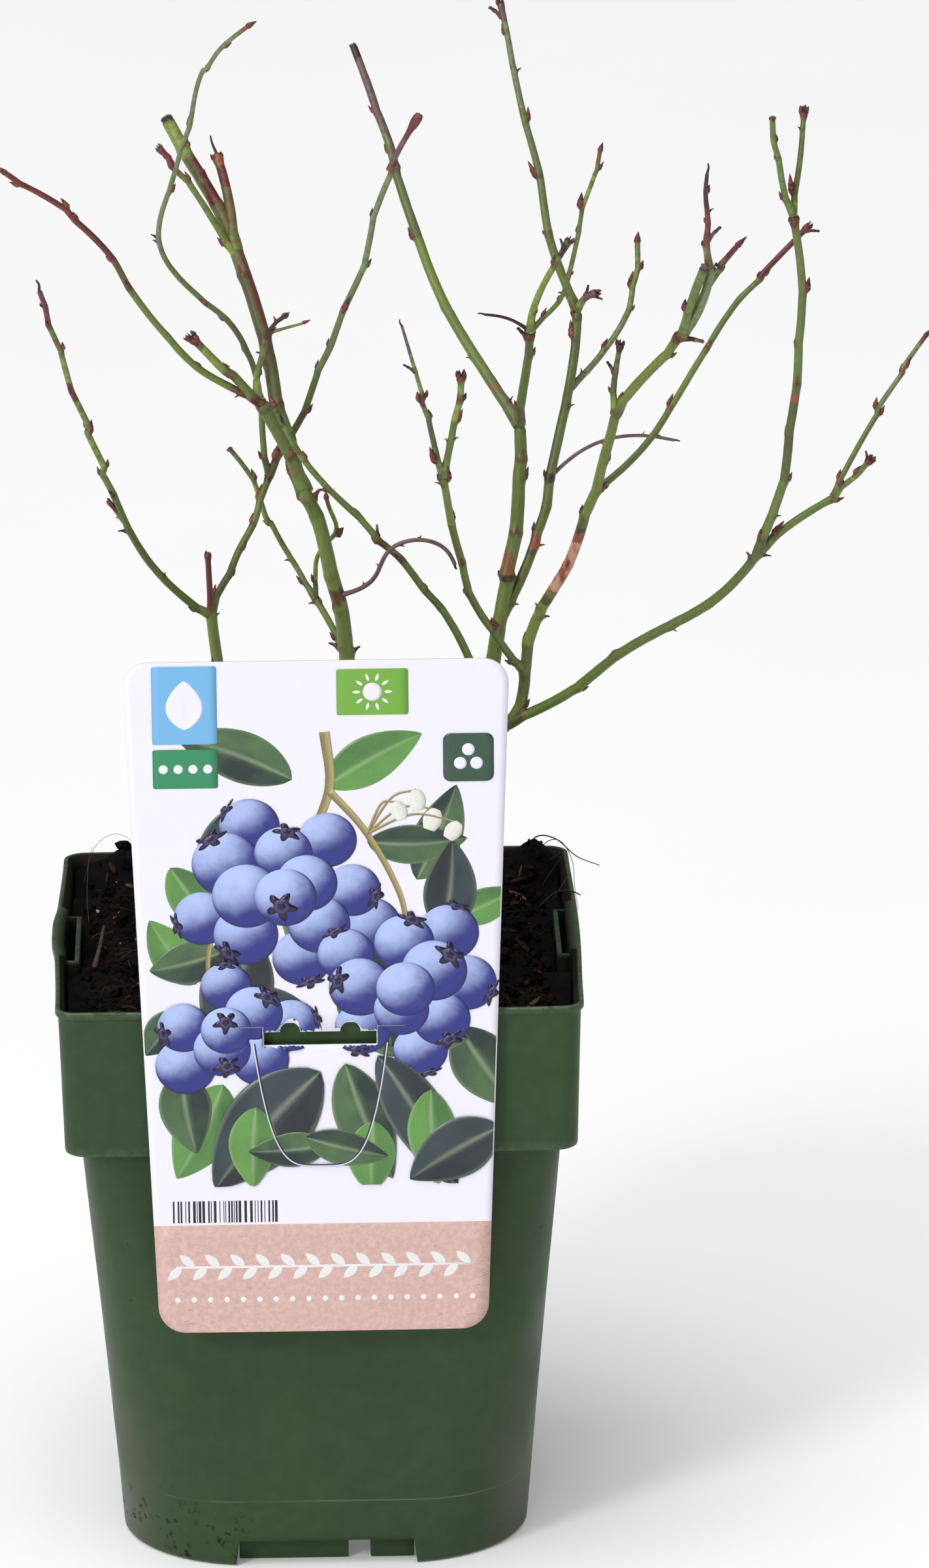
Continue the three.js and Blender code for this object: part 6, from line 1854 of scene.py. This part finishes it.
def make_twigs(bush, dead):
    """The masses of twigs in one piece, or the dead wisps in another."""
    limbs = grow_limbs()
    pairs = [(names.split()[0], names.split()[-1]) for names in TWIG_SHADES]
    shades = np.array([mix(getattr(bush, one), getattr(bush, other), 0.5) for one, other in pairs])
    finishes = [plain_finish(f"twig_{one}_{other}", shade, 0.45, 1.4, 0.22, 0.05)
                for (one, other), shade in zip(pairs, shades)]
    skins = []
    for limb in limbs.values():
        on_bough = limb.fused and limbs[limb.fused].split == 1
        if (mass_of(limb) in DEAD_MASSES) != dead or on_bough or (not limb.fused and limb.split == 1):
            continue
        skins.append(bark_skin(limb, 0.0 if limb.fused else limb.split, 1.0, "twig", bush))
    nodes = [name for name in NODES if name.endswith("_twigs")
             and (name.replace("_twigs", "") in DEAD_MASSES) == dead]
    put("dead_wisps" if dead else "fine_twigs", dealt(joined(skins), shades), finishes, nodes)


# ---------------------------------------------------------------- buds, thorns, scales and stubs


def turned_shape(profile, sides, bend=0.0, flat=1.0, tips=(), tone=(0.5, 0.5, 0.5)):
    """A shape turned about its own axis from (radius, height) pairs, flattened across one way, with
    its axis bent by height squared. `tips` gives each ring of faces its finish."""
    angle = circle(sides)
    rows = [np.column_stack([r * np.cos(angle) + bend * h * h, r * flat * np.sin(angle), np.full(sides, h)])
            for r, h in profile]
    finish = np.repeat(np.array(tips), sides).reshape(len(tips), sides) if tips else 0
    return grid(np.array(rows), first=True, last=True, tone=tone, finish=finish)


# The shapes of a unit's length that stand out on the limbs.
SHAPES = {
    # a pointed bud: overlapping scales, each a little step in its outline
    "bud": turned_shape(((0.12, -0.1), (0.2, 0.04), (0.24, 0.16), (0.235, 0.27), (0.2, 0.28), (0.205, 0.42),
                         (0.17, 0.56), (0.135, 0.57), (0.115, 0.7), (0.07, 0.86), (0.015, 1.0)),
                        8, -0.08, 0.85, (0, 0, 0, 1, 0, 0, 1, 1, 1, 1)),
    # a dry prickle: what is left of a leaf's stalk, with a frayed end
    "thorn": turned_shape(((0.42, -0.2), (0.34, 0.05), (0.22, 0.32), (0.14, 0.62), (0.13, 0.84), (0.03, 1.0)),
                          6, 0.18, 0.75),
    # a thin torn bud scale, curved inwards at its tip
    "scale": turned_shape(((0.1, -0.1), (0.24, 0.2), (0.25, 0.45), (0.15, 0.75), (0.02, 1.0)),
                          7, -0.12, 0.32),
    # a dead stub with a broken end
    "stub": turned_shape(((0.22, -0.15), (0.17, 0.08), (0.12, 0.35), (0.14, 0.5), (0.1, 0.75), (0.12, 0.93),
                          (0.03, 1.0)), 7, 0.1, 1.0, (0, 0, 0, 1, 1, 1)),
    # a short green spur with a ring at its foot
    "spur": turned_shape(((0.2, -0.1), (0.19, 0.03), (0.15, 0.1), (0.125, 0.45), (0.115, 0.85), (0.1, 1.0)),
                         9, 0.05, 1.0, (1, 1, 0, 0, 0)),
}
# The dry kinds in the order of their random draws: what each is made of and how its copies fan out.
DRY_KINDS = (("thorn", "thorn", (0,)), ("stub", "stub", (0,)), ("scales", "scale", (-45, 0, 50)))
# How each kind sits: its lean away from the limb in degrees, the share of its listed length that it
# has, and how wide it is for its length.
KINDS = {"bud": (15, 1.0, 1.0), "thorn": (50, 0.66, 1.0), "scales": (22, 0.7, 1.0), "stub": (34, 0.75, 0.9),
         "twiglet": (40, 1.0, 0.33)}


def settle(rows, random):
    """Where each growth sits on its limb: its place on the bark, its three directions, of which the
    last is its own and the first points away from the limb, and its length."""
    places, axes, lengths = [], [], []
    for limb, kind, share, degrees, size in rows:
        lean, length_share, _ = KINDS[kind]
        lean = math.radians(lean + random.uniform(-8, 8))
        tangent, out = limb.axes(share)[0], limb.out(share, degrees)
        along = tangent * math.cos(lean) + out * math.sin(lean)
        first = out * math.cos(lean) - tangent * math.sin(lean)
        places.append(limb.point(share) + out * float(limb.radius(share)) * 0.85)
        axes.append(np.stack([first, np.cross(along, first), along]))
        lengths.append(size * length_share)
    return np.array(places), np.array(axes), np.array(lengths)


def make_buds(bush):
    """Every bud: on the bark, at the end of the one twiglet, and at the limbs' tips. Red-brown with
    darker tips, in three pairs of shades."""
    random = np.random.default_rng(DRAWS["buds"])
    places, axes, lengths = settle(growths_of("bud"), random)
    feet, directions, sizes = settle(growths_of("twiglet"), random)
    widths = KINDS["twiglet"][2] * sizes
    tips = [limb for limb in grow_limbs().values() if (limb.split < 1 or limb.fused)
            and limb.name not in ENDS and limb.name not in WITHOUT_BUDS]
    heading = np.array([limb.axes(1.0)[0] for limb in tips])
    places = np.vstack([places, feet + directions[:, 2] * (sizes * 0.93)[:, None],
                        [limb.point(1.0) - limb.axes(1.0)[0] * 0.4 for limb in tips]])
    axes = np.concatenate([axes, directions, frames(heading, np.zeros(len(tips)))])
    ends = [4.2 * float(limb.radius(1.0)) + 0.6 for limb in tips]
    lengths = np.concatenate([lengths, np.full(len(feet), 2.2), ends])
    size = lengths[:, None] * random.uniform(0.9, 1.12, (len(lengths), 3))
    pair = random.choice(3, len(lengths), p=(0.45, 0.3, 0.25)) * 2
    tan = mix(bush.orange, bush.rust, 0.5)
    shades = ((bush.rust, bush.maroon), (bush.maroon, bush.dark), (tan, bush.rust))
    finishes = []
    for order, (low, high) in enumerate(shades):
        finishes.append(plain_finish(f"bud_foot_{order}", low, 0.42, 0.9, 0.3, 0.04))
        finishes.append(plain_finish(f"bud_tip_{order}", high, 0.4, 0.9, 0.35, 0.04))
    finishes.append(plain_finish("twiglet_green", bush.green, 0.42, 1.4, 0.3, 0.05))
    finishes.append(plain_finish("twiglet_ring", bush.rust, 0.45, 1.4, 0.3, 0.05))
    stalk = copies(SHAPES["spur"], feet, directions, np.column_stack([widths, widths, sizes]), 6)
    put("buds", joined([copies(SHAPES["bud"], places, axes, size, pair), stalk]), finishes)


def make_dry_bits(bush):
    """Dry prickles, torn scales and broken stubs, and the ends of the limbs that have no bud."""
    random = np.random.default_rng(DRAWS["dry_bits"])
    finishes = [plain_finish("dry_scale", mix(bush.dead, bush.rust, 0.7), 0.6, 0.9, 0.4, 0.05),
                plain_finish("dry_tip", bush.dark, 0.6, 0.9, 0.4, 0.05),
                plain_finish("dead_stub", bush.dead, 0.65, 0.9, 0.4, 0.08)]
    skins = []
    for kind, shape, spread in DRY_KINDS:
        rows = [(*row[:3], row[3] + turn, row[4] * (1 if turn == 0 else 0.75))
                for row in growths_of(kind) for turn in spread]
        places, axes, lengths = settle(rows, random)
        size = lengths[:, None] * random.uniform(0.85, 1.15, (len(rows), 3))
        skins.append(copies(SHAPES[shape], places, axes, size, (random.random(len(rows)) < 0.45).astype(int)))
    for name, (kind, size) in ENDS.items():
        skins += limb_end(grow_limbs()[name], kind, size, random)
    put("dry_bits", joined(skins), finishes)


def limb_end(limb, kind, size, random):
    """One limb's end: torn scales round the tip, a dead thread, or a cut."""
    along, tip, radius = limb.axes(1.0)[0], limb.point(1.0), float(limb.radius(1.0))
    if kind == "thread":
        share = np.linspace(0, 1, 8)[:, None]
        side = limb.out(1.0, random.uniform(0, 360))
        line = tip - along * 0.4 + along * size * share + side * 0.12 * size * np.sin(2.6 * share) ** 2
        return [tubes(line[None], (min(radius, THREAD) * np.linspace(0.85, 0.45, 8))[None], 7, 1)]
    skins = []
    if kind in ("cut", "flare"):
        disc = turned_shape(((0.8, -0.5), (0.9, 0.0), (0.7, 0.1)), 12)
        wide = radius * (1.7 if kind == "flare" else 1.0)
        skins.append(copies(disc, tip[None], frames(along[None], np.zeros(1)), [[wide, wide, 1.0]], 2))
        size = 1.5
    count = 4
    outs = np.array([limb.out(1.0, turn) for turn in np.arange(count) * 360 / count + random.uniform(0, 60)])
    heading = unit(along + random.uniform(0.0, 0.3, (count, 1)) * outs)
    first = unit(outs - heading * (outs * heading).sum(axis=1, keepdims=True))
    axes = np.stack([first, np.cross(heading, first), heading], axis=1)
    places = tip - along * 0.7 + outs * radius * 0.85
    sizes = 0.8 * size * random.uniform(0.5, 1.0, (count, 1)) * np.array([1.2, 1.3, 1.0])
    skins.append(copies(SHAPES["scale"], places, axes, sizes, (0, 1, 0, 1)))
    return skins


# ---------------------------------------------------------------- floor, lights and camera

FLOOR_HALF = 3.0  # metres
AIM = (37.26, 0.0, 189.25)  # the point that the camera and the lamps aim at
LAMPS = {"key": ((-1.9, -2.3, 1.7), 0.8), "fill": ((-0.8, -2.8, 0.3), 1.2)}  # places and sizes in metres


def stand(data, matrix):
    """Puts the floor, a light or the camera into the scene with its place and heading."""
    thing = bpy.data.objects.new(data.name, data)
    thing.matrix_world = matrix
    bpy.context.scene.collection.objects.link(thing)
    return thing


def make_stage(stage):
    """A plain pale floor, soft lights all round, and the camera."""
    scene = bpy.context.scene
    scene.view_settings.view_transform = "Standard"
    paint = plain_finish("pale_floor", stage.floor, 0.9, 400, 0.01, 0.0, Emission_Color=(1, 1, 1),
                         Emission_Strength=stage.glow)
    mesh = bpy.data.meshes.new("floor")
    sides = (-FLOOR_HALF, FLOOR_HALF)
    mesh.from_pydata([(x, y, 0) for y in sides for x in sides], [], [(0, 1, 3, 2)])
    mesh.materials.append(paint)
    floor = stand(mesh, Matrix())
    scene.world = scene.world or bpy.data.worlds.new("room")
    scene.world.use_nodes = True
    sky = scene.world.node_tree.nodes["Background"]
    sky.inputs["Color"].default_value = (1, 1, 1, 1)
    sky.inputs["Strength"].default_value = stage.world
    aim = np.array(AIM) * MM
    for name, (place, size) in LAMPS.items():
        light = bpy.data.lights.new(name + "_light", "AREA")
        light.shape = "DISK"
        light.size = size
        light.energy = getattr(stage, name)
        stand(light, looking(place, unit(aim - np.array(place)), 0.0))
    sun = bpy.data.lights.new("overhead_light", "SUN")
    sun.energy = stage.sun
    sun.angle = math.radians(50)
    stand(sun, looking((0, 0, 3), unit(np.array([0.15, 0.25, -1.0])), 0.0))
    heading = np.array([math.sin(stage.yaw) * math.cos(stage.elevation),
                        math.cos(stage.yaw) * math.cos(stage.elevation), -math.sin(stage.elevation)])
    camera = bpy.data.cameras.new("camera")
    camera.sensor_fit = "AUTO"
    camera.sensor_width = 36.0
    camera.lens = stage.lens
    camera.clip_end = 50.0
    scene.camera = stand(camera, looking(aim - heading * stage.distance, heading, stage.roll))


def looking(place, heading, roll):
    """A matrix that stands something at a place and turns it to look along a heading."""
    right = unit(np.cross(heading, np.array([0, 0, 1.0])))
    up = np.cross(right, heading)
    matrix = np.eye(4)
    matrix[:3, 0] = math.cos(roll) * right + math.sin(roll) * up
    matrix[:3, 1] = math.cos(roll) * up - math.sin(roll) * right
    matrix[:3, 2] = -heading
    matrix[:3, 3] = place
    return Matrix(matrix.tolist())


# ---------------------------------------------------------------- operators


class BUSH_OT_stage(Operator):
    """Make the floor, the lights and the camera"""

    bl_idname = "bush.stage"
    bl_label = "Stage"

    def execute(self, context):
        make_stage(context.scene.bush_stage)
        return {"FINISHED"}


class BUSH_OT_pot(Operator):
    """Make the pot"""

    bl_idname = "bush.pot"
    bl_label = "Pot"

    def execute(self, context):
        make_pot(context.scene.bush_pot)
        return {"FINISHED"}


class BUSH_OT_compost(Operator):
    """Make the bed of compost"""

    bl_idname = "bush.compost"
    bl_label = "Compost"

    def execute(self, context):
        make_compost(context.scene.bush_compost)
        return {"FINISHED"}


class BUSH_OT_litter(Operator):
    """Scatter crumbs, fibres and bits of bark over the compost"""

    bl_idname = "bush.litter"
    bl_label = "Litter"

    def execute(self, context):
        compost = context.scene.bush_compost
        make_crumbs(compost)
        make_fibres(compost)
        make_chips(compost)
        return {"FINISHED"}


class BUSH_OT_rim_roots(Operator):
    """Make the hair roots and sticks at the wall"""

    bl_idname = "bush.rim_roots"
    bl_label = "Roots at the rim"

    def execute(self, context):
        make_rim_roots(context.scene.bush_compost)
        return {"FINISHED"}


class BUSH_OT_card(Operator):
    """Make the card and its hook"""

    bl_idname = "bush.card"
    bl_label = "Card"

    def execute(self, context):
        make_card(context.scene.bush_card)
        return {"FINISHED"}


class BUSH_OT_print(Operator):
    """Print the card"""

    bl_idname = "bush.print"
    bl_label = "Print"

    def execute(self, context):
        make_print(context.scene.bush_card)
        return {"FINISHED"}


class BUSH_OT_bark(Operator):
    """Make the canes and the boughs"""

    bl_idname = "bush.bark"
    bl_label = "Canes and boughs"

    def execute(self, context):
        make_bark(context.scene.bush_plant)
        return {"FINISHED"}


class BUSH_OT_twigs(Operator):
    """Make the twigs"""

    bl_idname = "bush.twigs"
    bl_label = "Twigs"

    def execute(self, context):
        make_twigs(context.scene.bush_plant, dead=False)
        return {"FINISHED"}


class BUSH_OT_wisps(Operator):
    """Make the dead wisps"""

    bl_idname = "bush.wisps"
    bl_label = "Dead wisps"

    def execute(self, context):
        make_twigs(context.scene.bush_plant, dead=True)
        return {"FINISHED"}


class BUSH_OT_buds(Operator):
    """Make the buds and the spurs that carry them"""

    bl_idname = "bush.buds"
    bl_label = "Buds"

    def execute(self, context):
        make_buds(context.scene.bush_plant)
        return {"FINISHED"}


class BUSH_OT_dry_bits(Operator):
    """Make the prickles, torn scales, stubs and broken ends"""

    bl_idname = "bush.dry_bits"
    bl_label = "Dry bits"

    def execute(self, context):
        make_dry_bits(context.scene.bush_plant)
        return {"FINISHED"}


MAKERS = (BUSH_OT_stage, BUSH_OT_pot, BUSH_OT_compost, BUSH_OT_litter, BUSH_OT_rim_roots, BUSH_OT_card,
          BUSH_OT_print, BUSH_OT_bark, BUSH_OT_twigs, BUSH_OT_wisps, BUSH_OT_buds, BUSH_OT_dry_bits)
GROUPS = {"bush_pot": PotSettings, "bush_compost": CompostSettings, "bush_card": CardSettings,
          "bush_plant": BushSettings, "bush_stage": StageSettings}


class BUSH_PT_bush(Panel):
    """Lists the sizes and the steps that make the bush"""

    bl_idname = "BUSH_PT_bush"
    bl_label = "Blueberry bush"
    bl_space_type = "VIEW_3D"
    bl_region_type = "UI"
    bl_category = "Bush"

    def draw(self, context):
        for name, group in GROUPS.items():
            box = self.layout.box()
            box.label(text=group.__doc__)
            for key in group.__annotations__:
                box.prop(getattr(context.scene, name), key)
        for maker in MAKERS:
            self.layout.operator(maker.bl_idname)


def register():
    """Registers the classes and hangs the settings on the scene."""
    for group in (*GROUPS.values(), *MAKERS, BUSH_PT_bush):
        bpy.utils.register_class(group)
    for name, group in GROUPS.items():
        setattr(bpy.types.Scene, name, PointerProperty(type=group))


def unregister():
    """Takes it all off again."""
    for name in GROUPS:
        delattr(bpy.types.Scene, name)
    for group in reversed((*GROUPS.values(), *MAKERS, BUSH_PT_bush)):
        bpy.utils.unregister_class(group)


def main():
    """Makes every piece in order."""
    register()
    for maker in MAKERS:
        getattr(bpy.ops.bush, maker.bl_idname.split(".")[1])()


if __name__ == "__main__":
    main()
